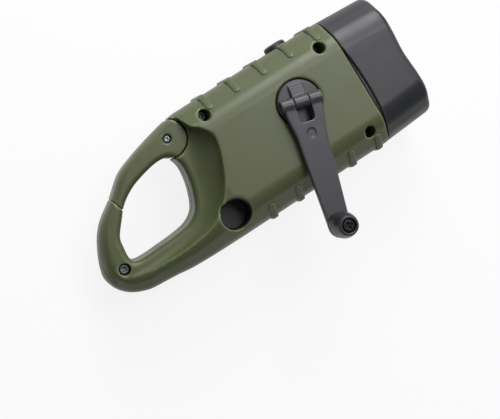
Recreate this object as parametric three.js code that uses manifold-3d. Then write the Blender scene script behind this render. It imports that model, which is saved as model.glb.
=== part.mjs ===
// Hand crank flashlight: two moulded case halves with a carabiner loop, a folding crank that
// drives a three stage gear train and a dynamo, a push button, a solar cell and a lamp head.
// Frame: +X to the lens, +Y to the push button, +Z out of the crank face. The origin lies on
// the flat rest face, on the centreline. Millimetres.
import * as THREE from 'three';
import { mergeVertices } from 'three/addons/utils/BufferGeometryUtils.js';
import Module from 'manifold-3d';

const wasm = await Module();
wasm.setup();

// General clearances and counts
const SEAT_GAP = 0.3;
const SPIN_GAP = 0.15;
const CUT_MARGIN = 2;
const WELD_DISTANCE = 1e-4;
const ROUND_SIDES = 14;
const FINE_SIDES = 28;
const SMALL_SIDES = 8;
const BOSS_SIDES = 10;
const CORNER_STEPS = 2;
const ROUND_END_ANGLES = [0, 45, 90, 135, 180];
const DOME_ANGLES = [30, 60];

// Case halves
const CASE_FRONT_X = 53.6;
const CASE_TAIL_X = -63.8;
const CASE_HALF_WIDTH = 26;
const CASE_HALF_HEIGHT = 18;
const CASE_WALL = 2;
const SHOULDER = 9;
const SHOULDER_ROUND = 3.4;
const GATE_SIDE_SHOULDER = 3;
const GATE_SIDE_EDGE = 2;
const PARTING_GAP = 0.3;
const PARTING_Z = CASE_HALF_HEIGHT;
const FACE_Z = 2 * CASE_HALF_HEIGHT;
const TAPER_START_X = -9;
const TAPER_LENGTH = TAPER_START_X - CASE_TAIL_X;
// Plan outline of the tapered rear, as shares of the taper length and the half width
const LEFT_OUTLINE_SHARES = [
  [0, -0.4], [0.012, -0.33], [0.04, -0.19], [0.08, -0.03], [0.13, 0.13], [0.2, 0.28],
  [0.33, 0.47], [0.46, 0.69], [0.6, 0.81], [0.75, 0.9], [0.88, 0.965], [1, 1],
];
const RIGHT_OUTLINE_SHARES = [
  [0, -0.45], [0.006, -0.5], [0.022, -0.59], [0.055, -0.7], [0.1, -0.79], [0.16, -0.86],
  [0.24, -0.915], [0.34, -0.935], [0.44, -0.955], [0.55, -0.985], [0.75, -1], [1, -1],
];
// Half height of the rear, as shares of the taper length and the case half height
const HEIGHT_SHARES = [
  [0, 0.17], [0.01, 0.28], [0.03, 0.38], [0.07, 0.46], [0.13, 0.515], [0.3, 0.58],
  [0.5, 0.66], [0.68, 0.76], [0.82, 0.88], [0.92, 0.965], [1, 1],
];
const TAIL_STATION_SHARES = [
  0, 0.008, 0.022, 0.05, 0.09, 0.15, 0.24, 0.34, 0.45, 0.56, 0.67, 0.78, 0.9, 1,
];

// Dished scoop that drops from the flat faces to the loop
const LOOP_HALF_THICKNESS = 9;
const SCOOP_ANGLES = [0, 28, 56, 90];
const SCOOP_POINTS = 23;
// Shares of the loop length and the case half width, upper edge and floor edge of the dish
const LOOP_LENGTH = 65;
const SCOOP_RIM_SHARES = [
  [0.826, 1.12], [0.868, 0.76], [0.908, 0.662], [0.951, 0.48], [0.942, 0.27], [0.904, 0.02],
  [0.858, -0.2], [0.788, -0.42], [0.69, -0.61], [0.57, -0.695], [0.43, -0.75], [0.28, -0.765],
  [0.17, -0.7], [0.1, -0.635], [0.03, -0.53], [-0.08, -0.4],
];
const SCOOP_FLOOR_SHARES = [
  [0.821, 1.12], [0.856, 0.755], [0.842, 0.62], [0.79, 0.44], [0.762, 0.25], [0.735, -0.02],
  [0.71, -0.2], [0.665, -0.36], [0.6, -0.47], [0.52, -0.53], [0.4, -0.565], [0.28, -0.57],
  [0.17, -0.57], [0.1, -0.565], [0.04, -0.49], [-0.08, -0.36],
];

// Hole of the carabiner loop, as shares of the loop length and the case half width
const HOLE_RIM_CHAMFER = 1.1;
const HOLE_POINTS = 30;
const HOLE_SHARES = [
  [0.612, 0.552], [0.672, 0.54], [0.708, 0.475], [0.727, 0.33], [0.722, 0.154], [0.706, -0.018],
  [0.676, -0.21], [0.641, -0.33], [0.578, -0.415], [0.49, -0.447], [0.4, -0.458], [0.3, -0.466],
  [0.238, -0.455], [0.21, -0.415], [0.202, -0.34], [0.208, -0.2], [0.223, -0.045], [0.282, 0.14],
  [0.342, 0.304], [0.427, 0.434], [0.519, 0.508],
];

// Grip ribs
const RIB_WIDTH = 2.6;
const RIB_PROUD = 0.6;
const RIB_INNER_Y = 20.4;
const RIB_PITCH = 11.9;
const RIB_SETBACK = 4.5;
const RIB_COUNT = 5;
const RIB_BUTTON_CLEAR = 5.6;

// Cavity of the case; the low bay at its rear in shares of the loop length and the half width
const CAVITY_REAR_X = -1.4;
const BAY_HALF_HEIGHT = 6.6;
const BAY_POST_SHARE = -0.2445;
const BAY_PLATE_CLEAR = 1.84;
const BAY_SHARES = [
  [0, 0.66], [-0.115, 0.61], [-0.168, 0.485], [-0.226, 0.38], [-0.246, 0.23], [-0.257, 0],
  [-0.272, -0.31], [-0.24, -0.62], [-0.154, -0.81], [0, -0.85],
];

// Case screws and their bosses
const SCREW_RADIUS = 1;
const SCREW_HOLE_RADIUS = 1.2;
const SCREW_HEAD_RADIUS = 1.9;
const SCREW_HEAD_HEIGHT = 1.5;
const COUNTERBORE_RADIUS = 2.2;
const BOSS_RADIUS = 3.7;
const LOWER_BOSS_RADIUS = 3.3;
const COUNTERBORE_FLOOR_Z = 22.5;
const SCREW_TIP_Z = 8.5;
const PILOT_END_Z = 7.6;
const FRONT_SCREW_SETBACK = 6.5;
const REAR_SCREW_AHEAD = 7.2;
const TAIL_SCREW_AHEAD = 8.2;
const FRONT_SCREW_SHARE = 0.6923;
const REAR_SCREW_SHARE = 0.7615;
const TAIL_SCREW_SHARE = -0.46;
const TAIL_PILOT_END_Z = 11;
const TAIL_SCREW_TIP_Z = 12;

// Crank
// Place of the crank in shares of the front of the case and the half width
const CRANK_PLACE_SHARES = [0.556, 0.20577];
const CRANK_REST_ANGLE = -105;
const STOW_ANGLE = -152.04;
const KNOB_REACH = 46.59;
const RECESS_RADIUS = 8.85;
const RECESS_DEPTH = 3.1;
const RECESS_FLOOR = 2;
const COLLAR_DROP = 1.2;
const COLLAR_RADIUS = 6;
const DISC_RADIUS = 8.25;
const DISC_PROUD = 0.25;
const DISC_CHAMFER = 0.5;
const HUB_RADIUS = 4;
const HUB_SQUARE = 5;
const HUB_HEAD_RADIUS = 3;
const SCREW_BITE = 4.2;
const HINGE_HEIGHT = 2.2;
const HINGE_PIN_RADIUS = 0.9;
const BARREL_RADIUS = 2.4;
const BARREL_GROOVE_GAP = 0.35;
const PRONG_OUTER = 7.8;
const PRONG_INNER = 3;
const KNUCKLE_HALF_WIDTH = 2.7;
const LUG_TOP = 2.1;
const LUG_REACH = 6.1;
const LUG_TOE = 0.6;
const LUG_TOE_HEIGHT = 1.2;
const ARM_TOP = 4;
const ARM_THICKNESS = 2.6;
const ARM_ROOT_HALF = 7.15;
const ARM_WAIST_HALF = 5.7;
const ARM_WAIST_AT = 12;
const ARM_END_HALF = 4.1;
const SLOT_END = 7.4;
const SLOT_CORNER = 1.6;
const ARM_END_ANGLES = [75, 50, 25, 0];
const EJECTOR_AT = 11.8;
const EJECTOR_RADIUS = 1.65;
const EJECTOR_DEPTH = 0.25;

// Knob and its well in the case
const KNOB_RADIUS = 4.8;
const KNOB_TIP_RADIUS = 3.6;
const KNOB_TAPER_SHARE = 0.5;
const KNOB_EDGE = 0.45;
const KNOB_BORE_RADIUS = 1.65;
const KNOB_PIN_RADIUS = 1.5;
const KNOB_HEAD_RADIUS = 2.3;
const KNOB_HEAD_SINK = 2.2;
const WELL_RADIUS = 5.9;
const WELL_WALL = 1.5;
const WELL_FLOOR_WALL = 1.8;
const WELL_CLEAR = 0.9;
const WELL_GEAR_GAP = 0.55;

// Gear train
const GEAR_WALL_CLEAR = 0.897;
const GEAR_BOSS_CLEAR = 3.2;
const PRESSURE_ANGLE = 25;
const BACKLASH = 0.16;
const WHEEL_ADDENDUM_SHARE = 0.75;
const PINION_ADDENDUM_SHARE = 0.85;
const DEDENDUM_SHARE = 1.1;
const CRANK_TEETH = 40;
const PINION_TEETH = 10;
const IDLER_1_TEETH = 32;
const IDLER_2_TEETH = 30;
const IDLER_1_DIRECTION = 195;
const IDLER_2_DIRECTION = 200;
const ROTOR_DIRECTION = -20;
const CRANK_GEAR_SHARE = 0.2424;
const WHEEL_SHARE = 0.2078;
const ROTOR_PINION_SHARE = 0.277;
const LAYER_GAP = 0.5;
const SPACER_RADIUS = 2;
const SHAFT_RADIUS = 1;
const SHAFT_BOSS_RADIUS = 2.6;
const SHAFT_SOCKET_DEPTH = 2.6;
const PLATE_THICKNESS = 1.6;
const PLATE_BAR_HALF = 3;
const PLATE_LOBE_RADIUS = 4.5;
const PLATE_SCREW_RADIUS = 0.9;
const PLATE_SCREW_BITE = 6;
const PLATE_HEAD_HEIGHT = 1.2;
const POST_RADIUS = 2.6;
const POST_GEAR_CLEAR = 1.9;
const POST_DIRECTIONS = [-98.5, 115.2, 130.7];

// Dynamo
const ROTOR_SHAFT_RADIUS = 0.9;
const MAGNET_RADIUS = 5.8;
const MAGNET_END_GAP = 1.4;
const AIR_GAP = 0.5;
const CLAW_THICKNESS = 0.7;
const CLAW_COUNT = 6;
const CLAW_SWEEP = 21;
const STATOR_RADIUS = 10;
const STATOR_WALL = 0.8;
const STATOR_BOARD_GAP = 2.75;
const COIL_WALL_GAP = 0.35;

// Electrics
const BOARD_SETBACK = 3.4;
const BOARD_REAR_X = -1;
const BOARD_BOSS_CLEAR = 2.7;
const PEG_RADIUS = 0.9;
const PEG_EDGE = 1.7;
const PEG_PROUD = 0.9;
const BOARD_THICKNESS = 1.6;
const PANEL_THICKNESS = 0.8;
const WINDOW_REAR_X = 3;
const WINDOW_SETBACK = 6.6;
const WINDOW_SIDE_EDGE = 2;
const WINDOW_THICKNESS = 0.8;
const WINDOW_SINK = 0.2;
const WINDOW_CORNER = 2.4;
const LEDGE_WIDTH = 2;
const BATTERY_RADIUS = 7.7;
const BATTERY_EDGE = 2.75;
const BATTERY_SETBACK = 8;
const BATTERY_GROOVE = 0.35;
const BATTERY_CELLS = 3;
const CHIP_SETBACK = 18.6;
const CHIP_Y = 4;
const CHIP_SIZE = 5;
const CHIP_HEIGHT = 1.6;
const CAPACITOR_RADIUS = 2.5;
const CAPACITOR_HEIGHT = 6;

// Insulated leads between the dynamo, the battery, the board and the lamps
const LEAD_RADIUS = 0.5;
const LEAD_SIDES = 5;
const LEAD_STEPS = 7;
const LAMP_LEAD_SETBACK = 1.1;
const LEAD_EDGE = 1.1;
const LAMP_LEAD_BEND = 5;
const LAMP_LEAD_Z = 11;
const BATTERY_LEAD_SETBACK = 5.1;
const COIL_LEAD_SPREAD = 1.2;
const COIL_LEAD_REACH = 4;
const COIL_LEAD_RISE = 2.25;

// Push button and its switch
const BUTTON_SETBACK = 16.7;
const BUTTON_RADIUS = 4.35;
const BUTTON_PROUD = 2.1;
const BUTTON_DOME_RISE = 1.3;
const BUTTON_HOLE_GAP = 0.2;
const BUTTON_FLANGE_RADIUS = 4.9;
const BUTTON_FLANGE_THICKNESS = 1.2;
const BUTTON_STEM_RADIUS = 2;
const BUTTON_TRAVEL = 1.2;
const SWITCH_SIZE = 8.4;
const SWITCH_DEPTH = 6.8;
const SWITCH_INSET = 7.4;
const PLUNGER_RADIUS = 1.3;
const PLUNGER_PROUD = 1.6;
const PLUNGER_BURIED = 2;
const SWITCH_RIB = 1.3;

// Lamp head
const BEZEL_GAP = 0.35;
const BEZEL_LENGTH = 20.65;
const BEZEL_FRONT_HALF_WIDTH = 24.9;
const BEZEL_FRONT_HALF_HEIGHT = 17.1;
const BEZEL_WALL = 2.2;
const BEZEL_RIM_ROUND = 1.8;
const BEZEL_RIM_SHARE = 0.3;
const BEZEL_LIP = 1.4;
const BEZEL_LIP_INSET = 3;
const SPIGOT_LENGTH = 3;
const SPIGOT_WALL = 1.5;
const GASKET_THICKNESS = 0.5;
const GASKET_WIDTH = 1.6;
const LENS_THICKNESS = 1.6;
const REFLECTOR_PLATE = 1;
const CUP_RADIUS = 7;
const CUP_THROAT = 3.1;
const CUP_DEPTH = 11.6;
const CUP_WALL = 0.8;
const CUP_BEND_SHARE = 0.3;
const CUP_SIDES = 14;
const CUP_TOP_HEIGHT = 6.2;
const CUP_LOW_HEIGHT = -5.4;
const CUP_SIDE = 9.6;
const LED_RADIUS = 2.5;
const LED_FLANGE_RADIUS = 2.85;
const LED_FLANGE_HEIGHT = 1;
const LED_LENGTH = 8.4;
const LED_BOARD_THICKNESS = 1.4;
const LED_BOARD_INSET = 8.5;
const LED_BOARD_CORNER = 3;
const LED_BOARD_ROUND = 0.6;
const LED_POST_EDGE = 2.1;

// Gate of the loop
// Places in shares of the loop length and the case half width
const GATE_PLACE_SHARES = [0.73692, 0.75385];
const GATE_SPLIT_SHARES = [0.3062, 0.3423];
const GATE_HUB_RADIUS = 7.2;
const GATE_HUB_GAP = 0.45;
const GATE_SPLIT_LEAN = 3.4;
const GATE_SPLIT_GAP = 0.4;
const GATE_BAR_WIDTH = 12;
const GATE_ROOT_ANGLE = 236;
const TONGUE_HALF_THICKNESS = 3;
const TONGUE_RADIUS = 6.8;
const TONGUE_NECK = 8.9;
const TONGUE_NECK_ANGLES = [60, -80];
const GATE_PIN_RADIUS = 1.45;
const GATE_PIN_SINK = 1.4;
const GATE_SPRING_RADIUS = 2.5;
const GATE_SPRING_WIRE = 0.28;
const GATE_SPRING_TURNS = 3;
const GATE_SPRING_PITCH = 1.05;
const GATE_SPRING_LEG = 8.4;
const GATE_SPRING_FOOT = 5.2;
const SPRING_CURL_STEPS = 8;
const SPRING_SIDES = 5;
const SPRING_POCKET_RADIUS = 3.3;
const SPRING_POCKET_HALF = 2.3;
const SPRING_SLOT_HALF = 1.2;

const RAD = Math.PI / 180;

// Derived places along and across the case
const RIB_FRONT_X = CASE_FRONT_X - RIB_SETBACK;
const FRONT_SCREW_X = CASE_FRONT_X - FRONT_SCREW_SETBACK;
const FRONT_SCREW_Y = CASE_HALF_WIDTH * FRONT_SCREW_SHARE;
const CRANK_X = CASE_FRONT_X * CRANK_PLACE_SHARES[0];
const CRANK_Y = CASE_HALF_WIDTH * CRANK_PLACE_SHARES[1];
const BUTTON_X = CASE_FRONT_X - BUTTON_SETBACK;
const SWITCH_FRONT_Y = CASE_HALF_WIDTH - SWITCH_INSET;
const BOARD_FRONT_X = CASE_FRONT_X - BOARD_SETBACK;
const BOARD_HALF_WIDTH = FRONT_SCREW_Y - LOWER_BOSS_RADIUS - BOARD_BOSS_CLEAR;
const BATTERY_X = CASE_FRONT_X - BATTERY_SETBACK;
const BATTERY_LENGTH = 2 * (BOARD_HALF_WIDTH - BATTERY_EDGE);
const CHIP_X = BATTERY_X - CHIP_SETBACK;
const LAMP_LEAD_X = BATTERY_X - LAMP_LEAD_SETBACK;
const BATTERY_LEAD_X = BATTERY_X - BATTERY_LEAD_SETBACK;
const LEAD_Y = BOARD_HALF_WIDTH - LEAD_EDGE;
const WINDOW_FRONT_X = CASE_FRONT_X - WINDOW_SETBACK;
const WINDOW_HALF_WIDTH = CASE_HALF_WIDTH - SHOULDER - WINDOW_SIDE_EDGE;
const BEZEL_REAR_X = CASE_FRONT_X + BEZEL_GAP;
const BEZEL_FRONT_X = BEZEL_REAR_X + BEZEL_LENGTH;
const GATE_X = (GATE_PLACE_SHARES[0] - 1) * LOOP_LENGTH;
const GATE_Y = GATE_PLACE_SHARES[1] * CASE_HALF_WIDTH;
const GATE_SPLIT_X = (GATE_SPLIT_SHARES[0] - 1) * LOOP_LENGTH;
const GATE_SPLIT_Y = GATE_SPLIT_SHARES[1] * CASE_HALF_WIDTH;
const GATE_SIDE_HALF_HEIGHT = LOOP_HALF_THICKNESS - GATE_SIDE_EDGE;
const SCOOP_RISE = CASE_HALF_HEIGHT - LOOP_HALF_THICKNESS + CUT_MARGIN;

// Derived heights of the crank and the gear layers
const PLATE_TOP_Z = PARTING_Z - PARTING_GAP / 2;
const PLATE_LOW_Z = PLATE_TOP_Z - PLATE_THICKNESS;
const RECESS_FLOOR_Z = FACE_Z - RECESS_DEPTH;
const COLLAR_LOW_Z = RECESS_FLOOR_Z - RECESS_FLOOR - COLLAR_DROP;
const GEAR_TOP_Z = COLLAR_LOW_Z - SEAT_GAP;
const GEAR_STACK = GEAR_TOP_Z - PLATE_TOP_Z;
const WHEEL_THICKNESS = GEAR_STACK * WHEEL_SHARE;
const ROTOR_PINION_HEIGHT = GEAR_STACK * ROTOR_PINION_SHARE;
const GEAR_LOW_Z = GEAR_TOP_Z - GEAR_STACK * CRANK_GEAR_SHARE;
const WHEEL_1_TOP_Z = GEAR_LOW_Z - LAYER_GAP;
const WHEEL_1_LOW_Z = WHEEL_1_TOP_Z - WHEEL_THICKNESS;
const PINION_1_TOP_Z = GEAR_TOP_Z + SPIN_GAP;
const WHEEL_2_LOW_Z = PLATE_TOP_Z + SEAT_GAP * 2;
const WHEEL_2_TOP_Z = WHEEL_2_LOW_Z + WHEEL_THICKNESS;
const PINION_2_TOP_Z = WHEEL_1_TOP_Z + SPIN_GAP;
const ROTOR_PINION_LOW_Z = PLATE_TOP_Z + SEAT_GAP;
const WELL_FLOOR_Z = WHEEL_2_TOP_Z + WELL_GEAR_GAP + WELL_FLOOR_WALL;
const KNOB_LENGTH = FACE_Z + HINGE_HEIGHT * 2 - ARM_TOP - SEAT_GAP - WELL_CLEAR - WELL_FLOOR_Z;

// The gears fill the least of three rooms: from the crank to the slanted wall, to the nearer
// front boss, and along the case to the rear of the low bay
const INNER_SHOULDER = SHOULDER - CASE_WALL * (2 - Math.SQRT2);
const SLANT_LOW_Z = FACE_Z - CASE_WALL - INNER_SHOULDER;
const GEAR_WALL_Y = CASE_HALF_WIDTH - CASE_WALL - (GEAR_TOP_Z - SLANT_LOW_Z);
const WALL_ROOM = GEAR_WALL_Y - CRANK_Y - GEAR_WALL_CLEAR;
const BOSS_DISTANCE = Math.hypot(FRONT_SCREW_X - CRANK_X, FRONT_SCREW_Y - CRANK_Y);
const BOSS_ROOM = BOSS_DISTANCE - BOSS_RADIUS - GEAR_BOSS_CLEAR;
const CRANK_GEAR_SPAN = CRANK_TEETH / 2 + WHEEL_ADDENDUM_SHARE;
const TRAIN_STEPS = [
  [(CRANK_TEETH + PINION_TEETH) / 2, IDLER_1_DIRECTION],
  [(IDLER_1_TEETH + PINION_TEETH) / 2, IDLER_2_DIRECTION],
  [IDLER_2_TEETH / 2 + WHEEL_ADDENDUM_SHARE, POST_DIRECTIONS[2]],
];
const TRAIN_SPAN = -TRAIN_STEPS.reduce((sum, [step, angle]) => polar(sum, 0, step, angle)[0], 0);
const REAR_POST_STEP = polar(0, 0, POST_RADIUS + POST_GEAR_CLEAR, POST_DIRECTIONS[2])[0];
const BAY_ROOM = CRANK_X - BAY_POST_SHARE * LOOP_LENGTH - PLATE_BAR_HALF - BAY_PLATE_CLEAR;
const GEAR_MODULE = Math.min(
  WALL_ROOM / CRANK_GEAR_SPAN,
  BOSS_ROOM / CRANK_GEAR_SPAN,
  (BAY_ROOM + REAR_POST_STEP) / TRAIN_SPAN,
);

// Derived heights below the gear plate
const WINDOW_LEDGE_Z = WINDOW_SINK + WINDOW_THICKNESS + SEAT_GAP;
const BOARD_LOW_Z = WINDOW_LEDGE_Z + PANEL_THICKNESS + SEAT_GAP;
const BOARD_TOP_Z = BOARD_LOW_Z + BOARD_THICKNESS;
const BATTERY_Z = BOARD_TOP_Z + SEAT_GAP + BATTERY_RADIUS;
const STATOR_TOP_Z = PLATE_LOW_Z - SEAT_GAP;
const STATOR_LOW_Z = BOARD_TOP_Z + STATOR_BOARD_GAP;
const MAGNET_HEIGHT = STATOR_TOP_Z - STATOR_LOW_Z - MAGNET_END_GAP * 2;
const COIL_LEAD_Z = STATOR_LOW_Z + COIL_LEAD_RISE;
const LOOP_TOP_Z = PARTING_Z + LOOP_HALF_THICKNESS;
const LOOP_LOW_Z = PARTING_Z - LOOP_HALF_THICKNESS;
const WELL_PLACE = polar(CRANK_X, CRANK_Y, KNOB_REACH, STOW_ANGLE);
const IDLER_1_PLACE = polar(
  CRANK_X, CRANK_Y, pitchRadius(CRANK_TEETH + PINION_TEETH), IDLER_1_DIRECTION,
);
const IDLER_2_PLACE = polar(
  ...IDLER_1_PLACE, pitchRadius(IDLER_1_TEETH + PINION_TEETH), IDLER_2_DIRECTION,
);
const ROTOR_PLACE = polar(
  ...IDLER_2_PLACE, pitchRadius(IDLER_2_TEETH + PINION_TEETH), ROTOR_DIRECTION,
);
const SCREW_PLACES = [
  [FRONT_SCREW_X, FRONT_SCREW_Y],
  [FRONT_SCREW_X, -FRONT_SCREW_Y],
  [TAPER_START_X + REAR_SCREW_AHEAD, CASE_HALF_WIDTH * REAR_SCREW_SHARE],
  [CASE_TAIL_X + TAIL_SCREW_AHEAD, CASE_HALF_WIDTH * TAIL_SCREW_SHARE],
];
const POST_CENTRES = [
  [CRANK_X, CRANK_Y, CRANK_TEETH],
  [...IDLER_1_PLACE, IDLER_1_TEETH],
  [...IDLER_2_PLACE, IDLER_2_TEETH],
];
const POST_PLACES = POST_CENTRES.map(([x, y, teeth], i) => {
  const tip = pitchRadius(teeth) + WHEEL_ADDENDUM_SHARE * GEAR_MODULE;
  return polar(x, y, tip + POST_RADIUS + POST_GEAR_CLEAR, POST_DIRECTIONS[i]);
});
const CAPACITOR_X = (ROTOR_PLACE[0] + STATOR_RADIUS + BATTERY_X - BATTERY_RADIUS) / 2;
const CAPACITOR_Y = ROTOR_PLACE[1] + COIL_LEAD_SPREAD + LEAD_RADIUS + SEAT_GAP + CAPACITOR_RADIUS;

// Geometry helpers
function polar(x, y, radius, angle) {
  return [x + radius * Math.cos(angle * RAD), y + radius * Math.sin(angle * RAD)];
}

function pitchRadius(teeth) {
  return teeth * GEAR_MODULE / 2;
}

function solid(geometry) {
  const bare = geometry.index ? geometry.toNonIndexed() : geometry.clone();
  bare.deleteAttribute('normal');
  bare.deleteAttribute('uv');
  const merged = mergeVertices(bare, WELD_DISTANCE);
  const vertProperties = new Float32Array(merged.attributes.position.array);
  const triVerts = new Uint32Array(merged.index.array);
  return new wasm.Manifold(new wasm.Mesh({ numProp: 3, vertProperties, triVerts }));
}

function geometryOf(body) {
  const mesh = body.getMesh();
  const geometry = new THREE.BufferGeometry();
  geometry.setAttribute('position', new THREE.BufferAttribute(mesh.vertProperties, 3));
  geometry.setIndex(new THREE.BufferAttribute(mesh.triVerts, 1));
  geometry.computeVertexNormals();
  return geometry;
}

function join(first, ...others) {
  return others.reduce((sum, other) => sum.add(other), first);
}

function cut(first, ...others) {
  return others.reduce((rest, other) => rest.subtract(other), first);
}

function vectors(pairs) {
  return pairs.map(([x, y]) => new THREE.Vector2(x, y));
}

function roundedPolygon(corners, tangent, steps = CORNER_STEPS) {
  const points = [];
  corners.forEach(([x, y], index) => {
    const corner = new THREE.Vector2(x, y);
    const before = new THREE.Vector2(...corners.at(index - 1));
    const after = new THREE.Vector2(...corners[(index + 1) % corners.length]);
    const start = corner.clone().add(before.sub(corner).setLength(tangent));
    const end = corner.clone().add(after.sub(corner).setLength(tangent));
    points.push(...new THREE.QuadraticBezierCurve(start, corner, end).getPoints(steps));
  });
  return points;
}

function box(x0, x1, y0, y1, z0, z1) {
  const geometry = new THREE.BoxGeometry(x1 - x0, y1 - y0, z1 - z0);
  return solid(geometry.translate((x0 + x1) / 2, (y0 + y1) / 2, (z0 + z1) / 2));
}

function prismGeometry(points, z0, z1) {
  const shape = new THREE.Shape(points);
  const geometry = new THREE.ExtrudeGeometry(shape, { depth: z1 - z0, bevelEnabled: false });
  return geometry.translate(0, 0, z0);
}

function prism(points, z0, z1) {
  return solid(prismGeometry(points, z0, z1));
}

// A prism whose plan is drawn in X and Z and which runs along Y
function prismAlongY(points, y0, y1) {
  return solid(prismGeometry(points, -y1, -y0).rotateX(Math.PI / 2));
}

// A turned body: profile pairs are radius and height
function turned(profile, sides = ROUND_SIDES) {
  return new THREE.LatheGeometry(vectors(profile), sides).rotateX(Math.PI / 2);
}

function rodGeometry(radius, z0, z1, sides) {
  return turned([[0, z0], [radius, z0], [radius, z1], [0, z1]], sides);
}

function rod([x, y], radius, z0, z1, sides = ROUND_SIDES) {
  return solid(rodGeometry(radius, z0, z1, sides).translate(x, y, 0));
}

function rodAlongY(x, z, radius, y0, y1, sides = ROUND_SIDES) {
  const geometry = rodGeometry(radius, -y1, -y0, sides).rotateX(Math.PI / 2);
  return solid(geometry.translate(x, 0, z));
}

function rodAlongX(y, z, radius, x0, x1, sides = ROUND_SIDES) {
  const geometry = rodGeometry(radius, x0, x1, sides).rotateY(Math.PI / 2);
  return solid(geometry.translate(0, y, z));
}

// A bar with round ends between two places
function link(from, to, halfWidth, z0, z1) {
  const along = Math.atan2(to[1] - from[1], to[0] - from[0]) / RAD;
  const turnsAt = (place, start) => ROUND_END_ANGLES.map((angle) => {
    return polar(...place, halfWidth, start + angle);
  });
  return prism(vectors([...turnsAt(to, along - 90), ...turnsAt(from, along + 90)]), z0, z1);
}

function area(points) {
  return THREE.ShapeUtils.area(points);
}

function capFaces(ring, first, keepOrder) {
  const size = new THREE.Box3().setFromPoints(ring).getSize(new THREE.Vector3()).toArray();
  const flat = size.indexOf(Math.min(...size));
  const axes = [0, 1, 2].filter((axis) => axis !== flat);
  const points = ring.map((p) => new THREE.Vector2(...axes.map((axis) => p.getComponent(axis))));
  const ringArea = area(points);
  const faces = [];
  for (const face of THREE.ShapeUtils.triangulateShape(points.slice(), [])) {
    const sameOrder = area(face.map((index) => points[index])) * ringArea > 0;
    const ordered = sameOrder === keepOrder ? face : [face[0], face[2], face[1]];
    faces.push(...ordered.map((index) => index + first));
  }
  return faces;
}

function enclosedVolume(points, faces) {
  let volume = 0;
  for (let i = 0; i < faces.length; i += 3) {
    const [a, b, c] = [points[faces[i]], points[faces[i + 1]], points[faces[i + 2]]];
    volume += a.dot(b.clone().cross(c)) / 6;
  }
  return volume;
}

// A closed skin through rings of equal counts, with a flat cap at each end
function loft(rings) {
  const count = rings[0].length;
  const points = rings.flat();
  const faces = capFaces(rings[0], 0, false);
  for (let ring = 0; ring + 1 < rings.length; ring += 1) {
    for (let i = 0; i < count; i += 1) {
      const a = ring * count + i;
      const b = ring * count + (i + 1) % count;
      faces.push(a, b, b + count, a, b + count, a + count);
    }
  }
  faces.push(...capFaces(rings.at(-1), points.length - count, true));
  if (enclosedVolume(points, faces) < 0) {
    faces.reverse();
  }
  const geometry = new THREE.BufferGeometry().setFromPoints(points);
  geometry.setIndex(faces);
  return solid(geometry);
}

function interpolate(pairs, at) {
  const next = pairs.findIndex(([position]) => position >= at);
  if (next < 1) {
    return pairs[Math.max(next, 0)][1];
  }
  const [x0, y0] = pairs[next - 1];
  const [x1, y1] = pairs[next];
  return y0 + (y1 - y0) * (at - x0) / (x1 - x0);
}

// Eight-sided section with rounded corners, shared by the case and the lamp head
function sectionRing(x, leftY, rightY, halfHeight, leftShoulder, rightShoulder, tangent) {
  const leftTop = leftY - leftShoulder;
  const rightTop = rightY + rightShoulder;
  const leftSide = halfHeight - leftShoulder;
  const rightSide = halfHeight - rightShoulder;
  const corners = [
    [leftY, leftSide], [leftTop, halfHeight], [rightTop, halfHeight], [rightY, rightSide],
    [rightY, -rightSide], [rightTop, -halfHeight], [leftTop, -halfHeight], [leftY, -leftSide],
  ];
  return roundedPolygon(corners, tangent).map((p) => new THREE.Vector3(x, p.x, PARTING_Z + p.y));
}

function insetRing(x, inset, halfWidth = CASE_HALF_WIDTH, halfHeight = CASE_HALF_HEIGHT) {
  const shoulder = SHOULDER - inset * (2 - Math.SQRT2);
  const side = halfWidth - inset;
  return sectionRing(x, side, -side, halfHeight - inset, shoulder, shoulder, SHOULDER_ROUND);
}

function sectionTube(x0, x1, inset) {
  return loft([insetRing(x0, inset), insetRing(x1, inset)]);
}

// Case form
function tailRing(share) {
  const left = interpolate(LEFT_OUTLINE_SHARES, share) * CASE_HALF_WIDTH;
  const right = interpolate(RIGHT_OUTLINE_SHARES, share) * CASE_HALF_WIDTH;
  const halfHeight = interpolate(HEIGHT_SHARES, share) * CASE_HALF_HEIGHT;
  const most = Math.min(SHOULDER, halfHeight / 2, (left - right) / 4);
  const leftMost = Math.max(halfHeight - GATE_SIDE_HALF_HEIGHT, GATE_SIDE_SHOULDER);
  const leftShoulder = Math.min(SHOULDER, leftMost, (left - right) / 4);
  const tangent = Math.min(leftShoulder, most) * SHOULDER_ROUND / SHOULDER;
  const x = CASE_TAIL_X + share * TAPER_LENGTH;
  return sectionRing(x, left, right, halfHeight, leftShoulder, most, tangent);
}

function caseForm() {
  return loft([...TAIL_STATION_SHARES.map(tailRing), insetRing(CASE_FRONT_X, 0)]);
}

function loopCurve(shares, closed, count) {
  const points = shares.map(([along, across]) => {
    return new THREE.Vector3((along - 1) * LOOP_LENGTH, across * CASE_HALF_WIDTH, 0);
  });
  const samples = new THREE.CatmullRomCurve3(points, closed, 'centripetal').getSpacedPoints(count);
  return closed ? samples.slice(0, -1) : samples;
}

function scoopRing(edge, z) {
  const rear = CASE_TAIL_X - SCOOP_RISE;
  const far = CASE_HALF_WIDTH + SCOOP_RISE;
  const ring = edge.map((p) => new THREE.Vector3(p.x, p.y, z));
  ring[0].y = far;
  ring.at(-1).x = rear;
  return [...ring, new THREE.Vector3(rear, far, z)];
}

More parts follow.
